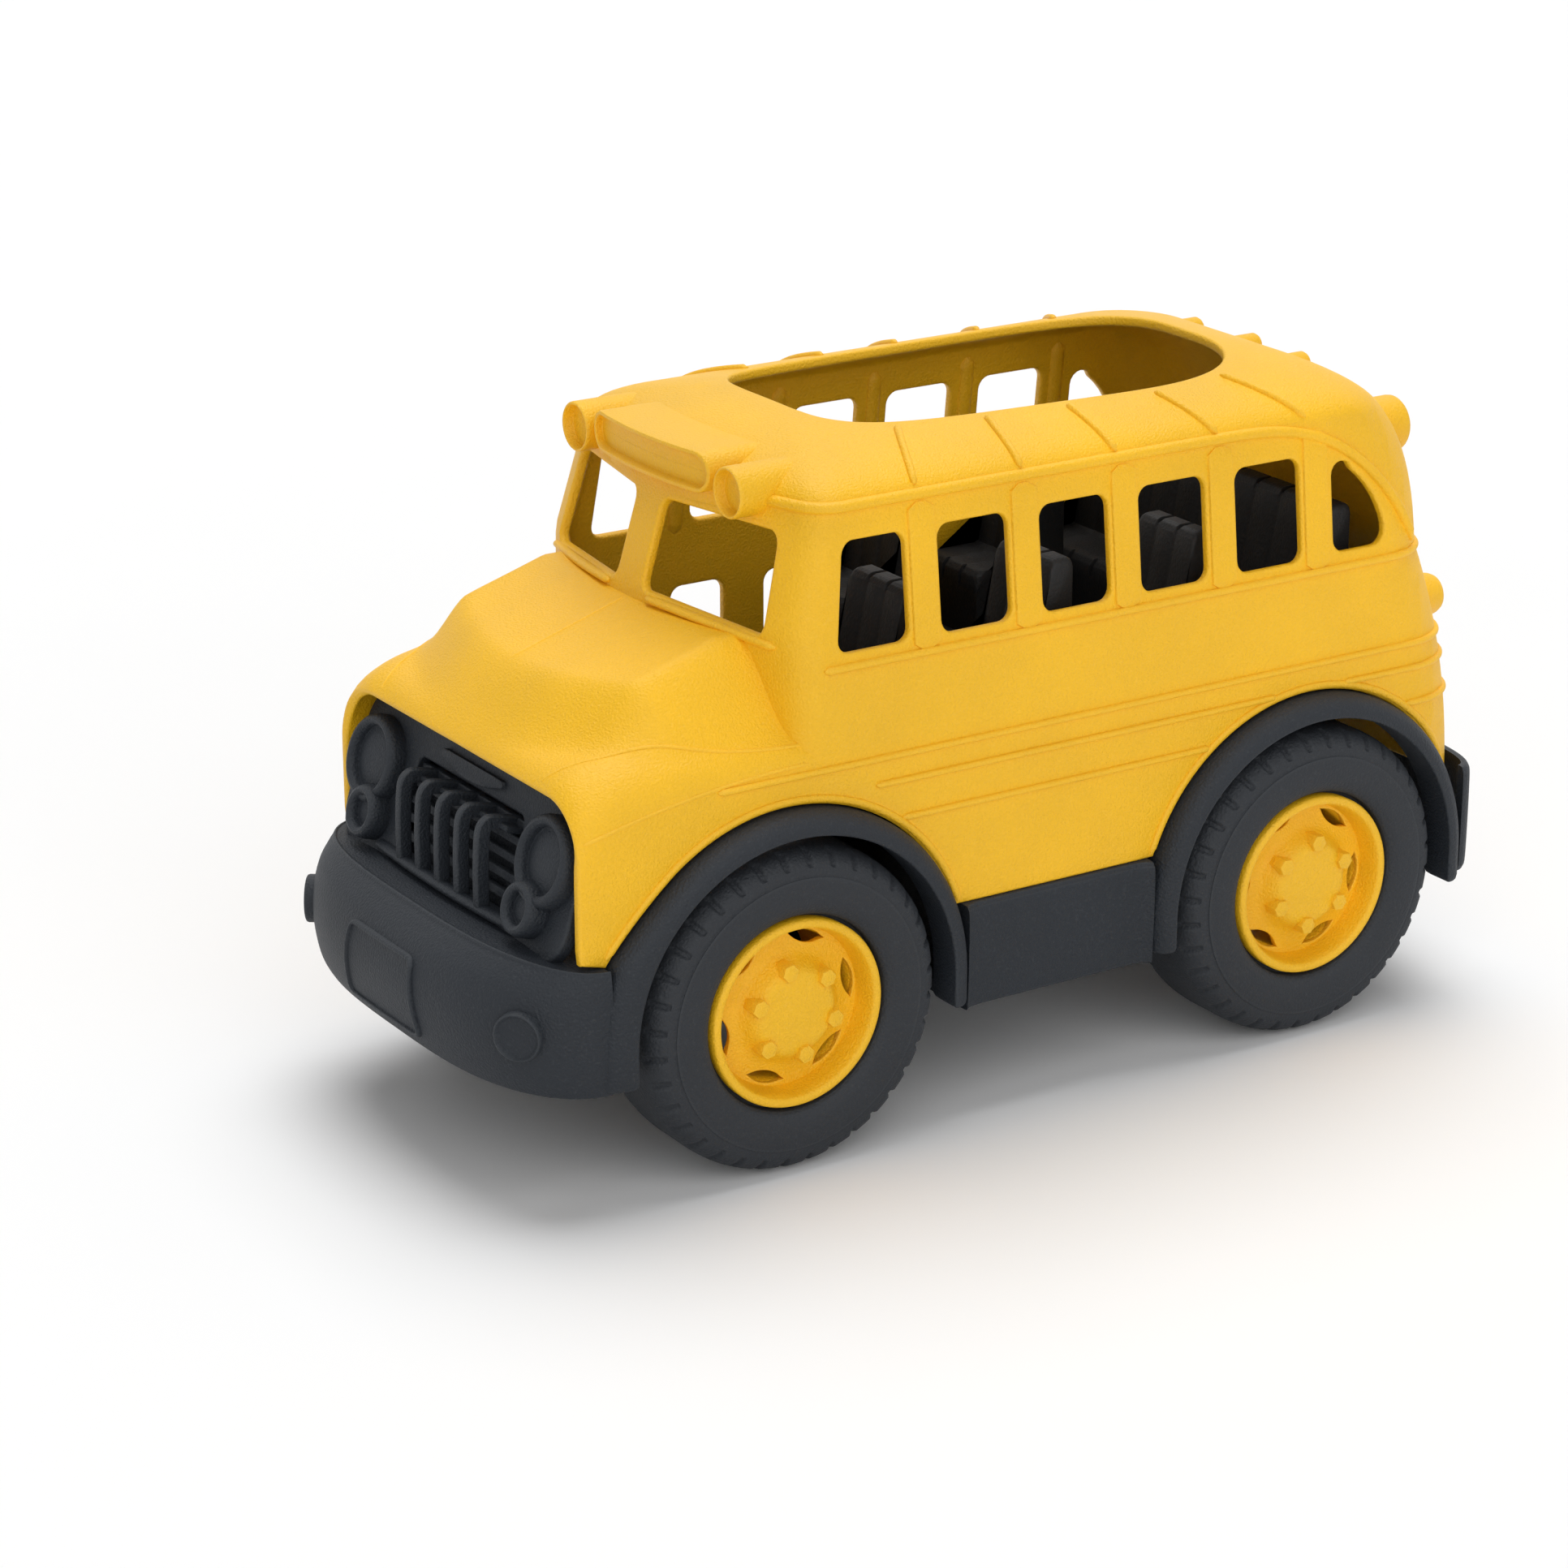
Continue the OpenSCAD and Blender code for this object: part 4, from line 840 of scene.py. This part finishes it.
def fender(axle_x, sign):
    """The lip section carried up the front leg, round the half ring and down the rear leg; the last
    sections shrink a little to round the feet."""
    leg = np.array([FENDER_Z, FENDER_Z + 0.4, FENDER_Z + 1.2, AXLE_Z - 0.5])
    shrink = np.array([0.72, 0.9, 1, 1])
    a = np.linspace(0, np.pi, 73)
    cz = np.concatenate([leg, np.full(73, AXLE_Z), leg[::-1]])
    ex = np.concatenate([np.ones(4), np.cos(a), -np.ones(4)])
    ez = np.concatenate([np.zeros(4), np.sin(a), np.zeros(4)])
    k = np.concatenate([shrink, np.ones(73), shrink[::-1]])[:, None]
    grow = np.concatenate([np.full(4, swell(axle_x, 0)), swell(axle_x, a), np.zeros(4)])[:, None]
    mid = fender_section.mean(0)
    r = mid[0] + (fender_section[:, 0] - mid[0])[None] * k
    r = r + grow * (fender_section[:, 0] - FENDER_R0)[None] / (FENDER_R1 - FENDER_R0)
    y = mid[1] + (fender_section[:, 1] - mid[1])[None] * k
    return tube(coords(axle_x + r * ex[:, None], sign * y, cz[:, None] + r * ez[:, None]))


for end, axle_x in AXLES.items():
    for side, sign in SIDES.items():
        arch = piece(f"{end}_{side}_fender", "bus", charcoal, [fender(axle_x, sign)])
        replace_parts(arch, f"fender_{end}_{side}")

# Sills: plain charcoal strips between the fenders under the shell, hollowed a little towards the
# fenders where they meet.
SILL_Y0, SILL_Y1, SKIRT_Z = 51.0, 55.0, 27.0
sill_x = np.linspace(-34.4, 16.9, 40)
flare = 1.6 * np.exp(-np.minimum(sill_x - sill_x[0], sill_x[-1] - sill_x) / 1.6)
sill_line = curve([[SILL_Y0, SKIRT_Z], [SILL_Y1 - 1.2, SKIRT_Z], [SILL_Y1 - 0.5, SKIRT_Z + 0.5],
                   [SILL_Y1 - 0.3, SKIRT_Z + 2], [SILL_Y1, 40], [SILL_Y1 - 0.1, 49.2], [SILL_Y1 - 0.6, 51.0],
                   [SILL_Y1 - 1.4, SILL_Z], [SILL_Y0, SILL_Z]], 60)
for side, sign in SIDES.items():
    out = flare[:, None] * clamp01((sill_line[:, 0] - 52) / 2)[None]
    sill = tube(coords(sill_x[:, None], sign * (sill_line[None, :, 0] + out), sill_line[None, :, 1]))
    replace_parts(piece(f"{side}_sill", "bus", charcoal, [sill]), f"sill_{side}")

# Bumpers: charcoal mouldings hooked to the floor pan. The front one bulges, has a fine bead along
# its top ledge, a bare raised plate in the middle and a flat ring near each end.
BUMPER_END, BUMPER_TOP, BUMPER_HW = 108.2, 58.2, 57.0
REACH = 25.7


def bumper(end_x, power, section, drop=0.0, steps=61):
    """A section carried round the end of the bus: each point's reach is scaled by a superellipse
    bow and its half width by the position across; the top edge drops towards the ends."""
    s = np.linspace(-1, 1, steps)
    t = np.sin(np.pi / 2 * s)[:, None]
    bow = np.sqrt(np.clip(1 - np.abs(t) ** power, 0, 1))
    x, y, z = (section[None, :, k] for k in range(3))
    return tube(coords(end_x + x * bow, y * t, z - drop * t ** 4 * clamp01((z - 40) / 18)))


ledge = coords(np.linspace(-1, REACH * 0.66, 12), np.linspace(50, 55.4, 12), BUMPER_TOP)
face = curve([[REACH * 0.675, 55.6, 58.25], [REACH * 0.69, 55.75, 58.5], [REACH * 0.707, 55.95, 58.5],
              [REACH * 0.72, 56.1, 58.15], [REACH * 0.735, 56.3, 57.5], [REACH * 0.80, 56.5, 56.1],
              [REACH * 0.91, 56.8, 52.9], [REACH * 0.99, 56.95, 47.2], [REACH, 57, 40.6],
              [REACH * 0.945, 56.8, 33.4], [REACH * 0.87, 56.4, 29.6], [REACH * 0.82, 56.0, 28.5],
              [REACH * 0.76, 55.2, 28.5]], 84)
inner = curve([[REACH * 0.7, 53.5, 30.5], [REACH * 0.78, 53, 34], [REACH - 4, 53, 42], [REACH - 5, 52.5, 50],
               [REACH * 0.6, 51.6, 54.0], [-1, 50, 54.2]], 24)
front_section = np.concatenate([ledge, face, inner])
FRONT_POWER, FRONT_DROP = 3.2, 1.8
PLATE_Z0, PLATE_Z1, PLATE_MID, PLATE_H = 32.4, 51.0, 41.7, 18.6


def plate_line(grow, squeeze):
    """Rounded trapezium of the bare plate, wider below, as points across and up."""
    line = rounded(-15.4, 15.4, PLATE_Z0, PLATE_Z1, 2.4, grow)
    line = resample(np.concatenate([line, line[:1]]), 121)[:-1]
    line[:, 0] *= 1.08 - 0.16 * (line[:, 1] - PLATE_Z0) / PLATE_H
    return coords(line[:, 0], PLATE_MID + (line[:, 1] - PLATE_MID) * squeeze)


def on_bumper(line, proud):
    """Points across and up set on the bumper's face, standing proud of it."""
    down = face[::-1]
    bow = np.sqrt(1 - np.abs(line[:, 0] / BUMPER_HW) ** FRONT_POWER)
    x = np.interp(line[:, 1], down[:, 2], down[:, 0]) * bow
    return coords(BUMPER_END + x + proud, line[:, 0], line[:, 1])


plate_rows = [(0, -2.5, 1), (0, 0.35, 1), (-0.15, 0.75, 1), (-0.35, 0.9, 1), (-0.7, 0.9, 1), (-0.95, 0.75, 1),
              (-1.15, 0.3, 1), (-1.4, 0.25, 1), (-1.5, 0.25, 0.6), (-1.5, 0.25, 0.3), (-1.5, 0.25, 0)]
plate = tube([on_bumper(plate_line(grow, squeeze), proud) for grow, proud, squeeze in plate_rows])


def lathe(profile, place, count=64):
    """A profile of radius and height turned round; place carries height, across and up to the bus."""
    a = np.linspace(0, 2 * np.pi, count, endpoint=False)[None]
    r, h = np.asarray(profile, float).T[:, :, None]
    pts = place(h, r * np.cos(a), r * np.sin(a))
    return outward(*weld([(pts.reshape(-1, 3), quads(len(profile), count, False, True))]))


DISC_Y, DISC_Z, DISC_TURN = 47.2, 42.9, np.radians(36)
DISC = [(0, 0.9), (4.3, 0.9), (4.6, 1.0), (4.85, 1.4), (5.1, 1.55), (5.35, 1.4), (5.5, 1.0),
        (5.5, -2.5), (0, -2.5)]
disc_x = float(on_bumper(np.array([[DISC_Y, DISC_Z]]), 0)[0, 0])
bumper_parts = [bumper(BUMPER_END, FRONT_POWER, front_section, FRONT_DROP), plate]
for sign in (1, -1):
    c, s = np.cos(DISC_TURN), sign * np.sin(DISC_TURN)
    bumper_parts.append(lathe(DISC, lambda h, a, b: coords(
        disc_x + h * c - a * s, sign * DISC_Y + h * s + a * c, DISC_Z + b)))
front_bumper = piece("front_bumper_cover", "bus", charcoal, bumper_parts)
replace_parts(front_bumper, "front_bumper")
rear_section = curve([[-6.1, 54.3, 57], [-7.6, 55.4, 57], [-8.7, 56.1, 56.2], [-9.3, 56.5, 53],
                      [-9.3, 56.5, 34.5], [-8.7, 56.1, 31.2], [-7.6, 55.4, 30.5], [-6.1, 54.3, 30.5]], 40)
rear_bumper = piece("rear_bumper_cover", "bus", charcoal, [bumper(-125.7, 5, rear_section)])
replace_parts(rear_bumper, "rear_bumper")

# Grille panel: a leaning charcoal plate behind the lip of the bonnet, with ringed lamps, a bare
# strip and an opening crossed by upright bars that bend back at the top.
LEAN = np.arctan(0.32)
PANEL_X, PANEL_Z = 111.5, 76.2
MOUTH_Z0, MOUTH_Z1, MOUTH_H = 60.0, 81.6, 21.6


def on_grille(u, y, w):
    """From the panel's own axes, out of it, across and up along it, to the bus."""
    up = w - PANEL_Z
    c, s = np.cos(LEAN), np.sin(LEAN)
    return coords(PANEL_X + u * c - up * s, y, PANEL_Z + u * s + up * c)


def grille_mouth(grow):
    """Outline of the opening: a trapezium with rounded corners, wider below."""
    line = rounded(-24.5, 24.5, MOUTH_Z0, MOUTH_Z1, 2.0, grow)
    line[:, 0] *= 1.04 - 0.08 * (line[:, 1] - MOUTH_Z0) / MOUTH_H
    return line


grille_outline = rounded(-49.0, 49.0, 55.0, 91.4, 9.0, 0.0)
flat, tris = panel(grille_outline, [grille_mouth(0.7)], 5.0, [grille_mouth(1.4)])
grille_parts = [outward(*thicken(on_grille(0, flat[:, 0], flat[:, 1]), tris, 3.4, 0.7))]
headlamp = [(0, 2.5), (3, 2.4), (5.5, 2.1), (7.2, 1.7), (7.4, 1.8), (7.5, 3.0), (7.9, 3.7), (8.6, 4.1),
            (9.3, 3.9), (9.9, 3.2), (10.2, 2.0), (10.2, -1), (0, -1)]
foglamp = [(0, 3.0), (2.2, 2.9), (3.3, 2.6), (3.5, 2.7), (3.65, 4.0), (4.1, 4.7), (4.8, 5.0), (5.5, 4.7),
           (6.0, 3.7), (6.2, 2.2), (6.2, -1), (0, -1)]
for sign in (1, -1):
    for shape, y, w in ((headlamp, 38.6, 76.2), (foglamp, 35.5, 64.6)):
        halves = [np.linspace(p, q, 3)[:-1] for p, q in zip(shape[:-1], shape[1:])]
        dense = np.concatenate(halves + [shape[-1:]])
        grille_parts.append(lathe(dense, lambda h, a, b: on_grille(h, sign * y + a, w + b)))
box = rounded(-1.1, 1.1, -1.6, 1.6, 0.5, 0.0)
bar_path = curve([[0.9, 58.8], [2.4, 63.5], [4.0, 68.8], [5.3, 74.0], [5.6, 76.4], [5.0, 77.8], [3.4, 78.4],
                  [-3.6, 78.9]], 60)
bar_way = unit(np.gradient(bar_path, axis=0))
for k in range(5):
    y = (k - 2) * 8.8
    u = bar_path[:, 0][:, None] + box[None, :, 1] * bar_way[:, 1][:, None]
    w = bar_path[:, 1][:, None] - box[None, :, 1] * bar_way[:, 0][:, None]
    grille_parts.append(tube(on_grille(u, y + box[None, :, 0], w)))
for w in (63.4, 67.4, 71.4, 75.4, 79.2):
    y = np.array([-25.5, 25.5])[:, None]
    grille_parts.append(tube(on_grille(-2.6 + 0.7 * box[None, :, 1], y, w + 0.85 * box[None, :, 0])))
shelf_y = np.array([-22.0, 22.0])[:, None]
grille_parts.append(tube(on_grille(-0.4 + 1.9 * box[None, :, 1], shelf_y, 78.0 + 0.6 * box[None, :, 0])))
lip_y = np.linspace(-30, 30, 40)
lip = np.linspace(0, 2 * np.pi, 16, endpoint=False)[None]
lip_u = (1.5 - 0.0022 * lip_y ** 2)[:, None]
grille_parts.append(tube(on_grille(lip_u + 2.0 * np.cos(lip), lip_y[:, None], 58.8 + 1.3 * np.sin(lip))))
strip_y = np.linspace(-13.2, 13.2, 25)
strip_low = coords(strip_y, 84.7 - 2.1 * (1 - (strip_y / 13.2) ** 2))
strip_top = coords(strip_y[::-1], 86.4)[1:-1]
strip = np.concatenate([strip_low, [[13.5, 85.4], [13.2, 86.2]], strip_top, [[-13.2, 86.2], [-13.5, 85.4]]])
strip_mid = np.array([0, 85.2])
grille_parts.append(tube([on_grille(u, *(strip_mid + (strip - strip_mid) * k).T) for u, k in
                          ((-1, 1), (0.9, 1), (1.15, 0.985), (1.25, 0.95), (1.25, 0.5))]))
back_wall = rounded(-34, 34, 55.5, 85.0, 2, 0)
grille_parts.append(tube([on_grille(u, back_wall[:, 0], back_wall[:, 1]) for u in (-6.4, -5.2)]))
grille = piece("grille", "bus", charcoal, grille_parts)
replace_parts(grille, "grille_panel")

# Seats: a dark charcoal insert on four legs, a deck with three seats on the left, two behind the door
# on the right and a bench across the back; wedge backs with upright grooves.
DECK_Z, DECK_T, DECK_HW = 79.0, 2.5, 50.1


def seat(x, y0, y1, grooves):
    """Side view of cushion and back, carried across the bus; it shrinks at its ends and dips at
    each groove."""
    side = np.array([[-3, 81], [23, 81], [23, 96.4], [21.6, 98], [9.6, 98], [8.2, 98.6], [3.4, 122.2],
                     [2.4, 123.6], [1.4, 124], [-1.6, 124], [-2.6, 123.4], [-3, 122.2]]) + [x, 0]
    line = np.concatenate([np.linspace(p, q, 5)[:-1] for p, q in zip(side, np.roll(side, -1, 0))])
    marks = [y0 + (y1 - y0) * (k + 1) / (grooves + 1) for k in range(grooves)]
    steps = [(y0, 1.5), (y0 + 0.45, 0.45), (y0 + 1.5, 0)]
    for m in marks:
        steps += [(m - 0.7, 0), (m - 0.45, 0.75), (m + 0.45, 0.75), (m + 0.7, 0)]
    steps += [(y1 - 1.5, 0), (y1 - 0.45, 0.45), (y1, 1.5)]
    mid, size = np.array([x + 4, 100.0]), np.array([13.0, 21.5])
    free = line[:, 1:] > 96
    rows = [(y, mid + (line - mid) * (1 - d / size * free)) for y, d in steps]
    return tube([coords(l[:, 0], y, l[:, 1]) for y, l in rows])


deck = [(rounded(-112, 48, -DECK_HW, DECK_HW, 6, grow), DECK_Z + up)
        for grow, up in ((-0.5, 0), (0, 0.5), (0, DECK_T - 0.5), (-0.5, DECK_T))]
seat_parts = [tube([coords(l[:, 0], l[:, 1], z) for l, z in deck])]
SEAT_X, SEAT_PITCH, DOOR_SHIFT = 25.0, 39.5, 50.0
for k in range(3):
    seat_parts.append(seat(SEAT_X - SEAT_PITCH * k, 25, 46, 2))
for k in range(2):
    seat_parts.append(seat(SEAT_X - DOOR_SHIFT - SEAT_PITCH * k, -46, -25, 2))
seat_parts.append(seat(SEAT_X - SEAT_PITCH * 3, -46, 46, 9))
leg = rounded(-4.5, 4.5, -4.5, 4.5, 1, 0)
for x in (41.4, -58.9):
    for sign in (1, -1):
        seat_parts.append(tube([coords(x + leg[:, 0], sign * 20.5 + leg[:, 1], z) for z in (30, 55, 80)]))
dark = moulded("seat_plastic", (0.007, 0.007, 0.0072), (0.06, 0.06, 0.06), 0.6, 1500.0, 0.06, 0.3, 0.6, 0.3)
seats = piece("seats", "bus", dark, seat_parts, sharp=50)
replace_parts(seats, "seat_insert")

# Floor pan and axles: a charcoal plate under the bus with saddles that hold the two plastic axle
# pins, shown as their solids are.
for node in ("floor_pan", "front_axle", "rear_axle"):
    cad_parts[node].data.materials.clear()
    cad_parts[node].data.materials.append(charcoal)

# Tyres: matt charcoal plastic rings with a smooth tread, short grooves across both shoulders and a
# stepped sidewall, pushed over the hubs.
rubber = moulded("tyre_plastic", (0.022, 0.025, 0.030), (0.11, 0.12, 0.13), 0.62, 1600.0, 0.06, 0.5, 0.9, 0.3)
GROOVES, PER_GROOVE, TYRE_MID = 36, 16, 45.5
tyre_line = np.concatenate([
    curve([[19.3, 33.6], [22.3, 32.4], [27, 32.1], [31.5, 32.1], [34.6, 33.3], [36.5, 35.9], [37.2, 39.5],
           [37.2, 45.5], [37.2, 51.5], [36.5, 55.1], [34.6, 57.5], [32.4, 58.3], [31.4, 58.4], [31.0, 58.75],
           [28, 58.95], [25.2, 58.7], [23.4, 57.9], [22.6, 57.0]], 72),
    [[22.5, 54.6], [19.3, 54.5]]])


def tyre(axle_x, sign):
    """The section turned round the axle; in each groove the shoulder sinks towards the middle of
    the section."""
    turn = np.arange(GROOVES * PER_GROOVE) / (GROOVES * PER_GROOVE)
    part = np.abs((turn * GROOVES) % 1 - 0.5)
    cut = smooth((0.15 - part) / 0.06)[:, None]
    r, y = tyre_line[:, 0][None], tyre_line[:, 1][None]
    edge = np.abs(y - TYRE_MID)
    depth = 0.65 * cut * smooth((r - 33.4) / 0.8) * smooth((edge - 8.0) / 1.5)
    r, y = r - depth * 0.8, y - np.sign(y - TYRE_MID) * depth * 0.6
    a = (2 * np.pi * turn)[:, None]
    return tube(coords(axle_x + r * np.cos(a), sign * y, AXLE_Z + r * np.sin(a)), ends=False)


for end, axle_x in AXLES.items():
    for side, sign in SIDES.items():
        ring_piece = piece(f"{end}_{side}_tyre", f"wheel_{end}_{side}", rubber,
                           [tyre(axle_x, sign)])
        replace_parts(ring_piece, f"tyre_{end}_{side}")

# Hubs: yellow mouldings with a flat rim, a deep dish, six lens-shaped vents and a conical boss with
# six hexagonal bolt heads on its edge; they click over the axle ends.
RIM = [(19.2, 33.5), (19.2, 54.6), (21.6, 54.7), (21.6, 57.2), (21.35, 57.7), (20.9, 57.9), (20.2, 57.9),
       (19.7, 57.7), (19.4, 57.2), (18.9, 55.4), (18.4, 52.6), (18.0, 51.6), (17.2, 50.6), (17.2, 33.5)]
SLEEVE = [(0, 51.5), (7.6, 51.5), (7.6, 30.2), (4.2, 30.2), (4.2, 46.8), (0, 46.8)]
BOLT = [(0, 52.0), (2.15, 52.0), (2.15, 57.6), (2.0, 57.9), (1.7, 58.0), (0, 58.0)]
VENTS, VENT_R, BOLT_R = 6, 16.3, 10.1


def circle(r, count):
    """Points round a circle."""
    a = np.linspace(0, 2 * np.pi, count, endpoint=False)
    return coords(r * np.cos(a), r * np.sin(a))


def vent(k, grow):
    """Lens between two arcs, lying across the radius at the outer edge of the dish."""
    t = np.linspace(-1, 1, 17)
    half_l, half_w = 5.1 + grow, 1.45 + grow
    across = half_w * (1 - t ** 2)
    lens = np.concatenate([coords(VENT_R + across, half_l * t), coords(VENT_R - across, half_l * t)[-2:0:-1]])
    a = 2 * np.pi * k / VENTS
    return lens @ np.array([[np.cos(a), np.sin(a)], [-np.sin(a), np.cos(a)]])


def dish_y(r):
    """Height of the dish over the radius: level web, cone up to the boss, slightly crowned face."""
    return 52.3 + 0.5 * smooth((16 - r) / 3) + 4.3 * smooth((13.3 - r) / 4.4) + 0.1 * smooth((9 - r) / 9)


dish_flat, dish_tris = panel(circle(18.7, 96), [vent(k, 0.3) for k in range(VENTS)], 1.0,
                             [vent(k, 0.55) for k in range(VENTS)])


def wheel_place(axle_x, sign, turn):
    """Carries height along the axle, across and up in the wheel, turned by an angle, to the bus."""
    c, s = np.cos(np.radians(turn)), np.sin(np.radians(turn))
    return lambda h, a, b: coords(axle_x + a * c - b * s, sign * h, AXLE_Z + a * s + b * c)


HUB_TURN = {"front": -11.5, "rear": 6.5}
for end, axle_x in AXLES.items():
    for side, sign in SIDES.items():
        place = wheel_place(axle_x, sign, HUB_TURN[end])
        a, b = dish_flat[:, 0], dish_flat[:, 1]
        web = outward(*thicken(place(dish_y(np.hypot(a, b)), a, b), dish_tris[:, ::sign * -1], 1.8, 0.3))
        hub_parts = [lathe(RIM + RIM[:1], place, 128), web, lathe(SLEEVE, place, 48)]
        for t in np.radians(np.arange(30, 390, 60)):
            x, z = BOLT_R * np.cos(t), BOLT_R * np.sin(t)
            hub_parts.append(lathe(BOLT, lambda h, u, v: place(h, x + u, z + v), 6))
        hub = piece(f"{end}_{side}_hub", f"wheel_{end}_{side}", yellow, hub_parts)
        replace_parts(hub, f"hub_{end}_{side}")

# Studio: a pale paper floor, soft light from above and from the camera's side, a white background,
# and the camera where the photograph was taken from.
floor_mesh = bpy.data.meshes.new("floor")
floor_mesh.from_pydata([(-3, -3, 0), (3, -3, 0), (3, 3, 0), (-3, 3, 0)], [], [(0, 1, 2, 3)])
floor = add_object("floor", floor_mesh)
paper = bpy.data.materials.new("paper_floor")
paper.use_nodes = True
t = paper.node_tree
weave = add_node(t, "TexNoise", {"Scale": 40.0})
tint = add_node(t, "MapRange", {"To Min": 0.93, "To Max": 0.95})
bsdf = t.nodes["Principled BSDF"]
bsdf.inputs["Roughness"].default_value = 0.9
links(t, (weave, "Fac", tint, "Value"), (tint, "Result", bsdf, "Base Color"))
floor_mesh.materials.append(paper)


def sun(name, direction, spread, strength):
    """A soft light from far away: it shines along the direction, spread over so many degrees."""
    data = bpy.data.lights.new(name, "SUN")
    data.angle, data.energy = np.radians(spread), strength
    add_object(name, data).rotation_euler = Vector(direction).to_track_quat("-Z", "Y").to_euler()


sun("key_light", (0.2, 0.25, -1.0), 50, 2.1)
sun("fill_light", (-0.35, -1.0, -0.55), 80, 1.45)
world = bpy.data.worlds.new("studio")
bpy.context.scene.world = world
world.use_nodes = True
t = world.node_tree
ambient = t.nodes["Background"]
ambient.inputs["Color"].default_value = (1, 1, 1, 1)
ambient.inputs["Strength"].default_value = 0.2
white = add_node(t, "Background", {"Color": (1, 1, 1, 1), "Strength": 1.0})
ray = add_node(t, "LightPath")
direct, seen = (add_node(t, "Math", operation="MAXIMUM") for _ in range(2))
mix = add_node(t, "MixShader")
links(t, (ray, "Is Camera Ray", direct, 0), (ray, "Is Glossy Ray", direct, 1), (direct, 0, seen, 0),
      (ray, "Is Transmission Ray", seen, 1), (seen, 0, mix, "Fac"), (ambient, 0, mix, 1), (white, 0, mix, 2),
      (mix, 0, t.nodes["World Output"], "Surface"))

camera_data = bpy.data.cameras.new("camera")
camera_data.lens, camera_data.sensor_width = 98.35, 36.0
camera = add_object("camera", camera_data)
camera.location = (0.52561, 0.77226, 0.39731)
camera.rotation_euler = Vector((-0.5086, -0.7912, -0.3395)).to_track_quat("-Z", "Y").to_euler()
scene = bpy.context.scene
scene.camera = camera
scene.view_settings.view_transform = "Standard"
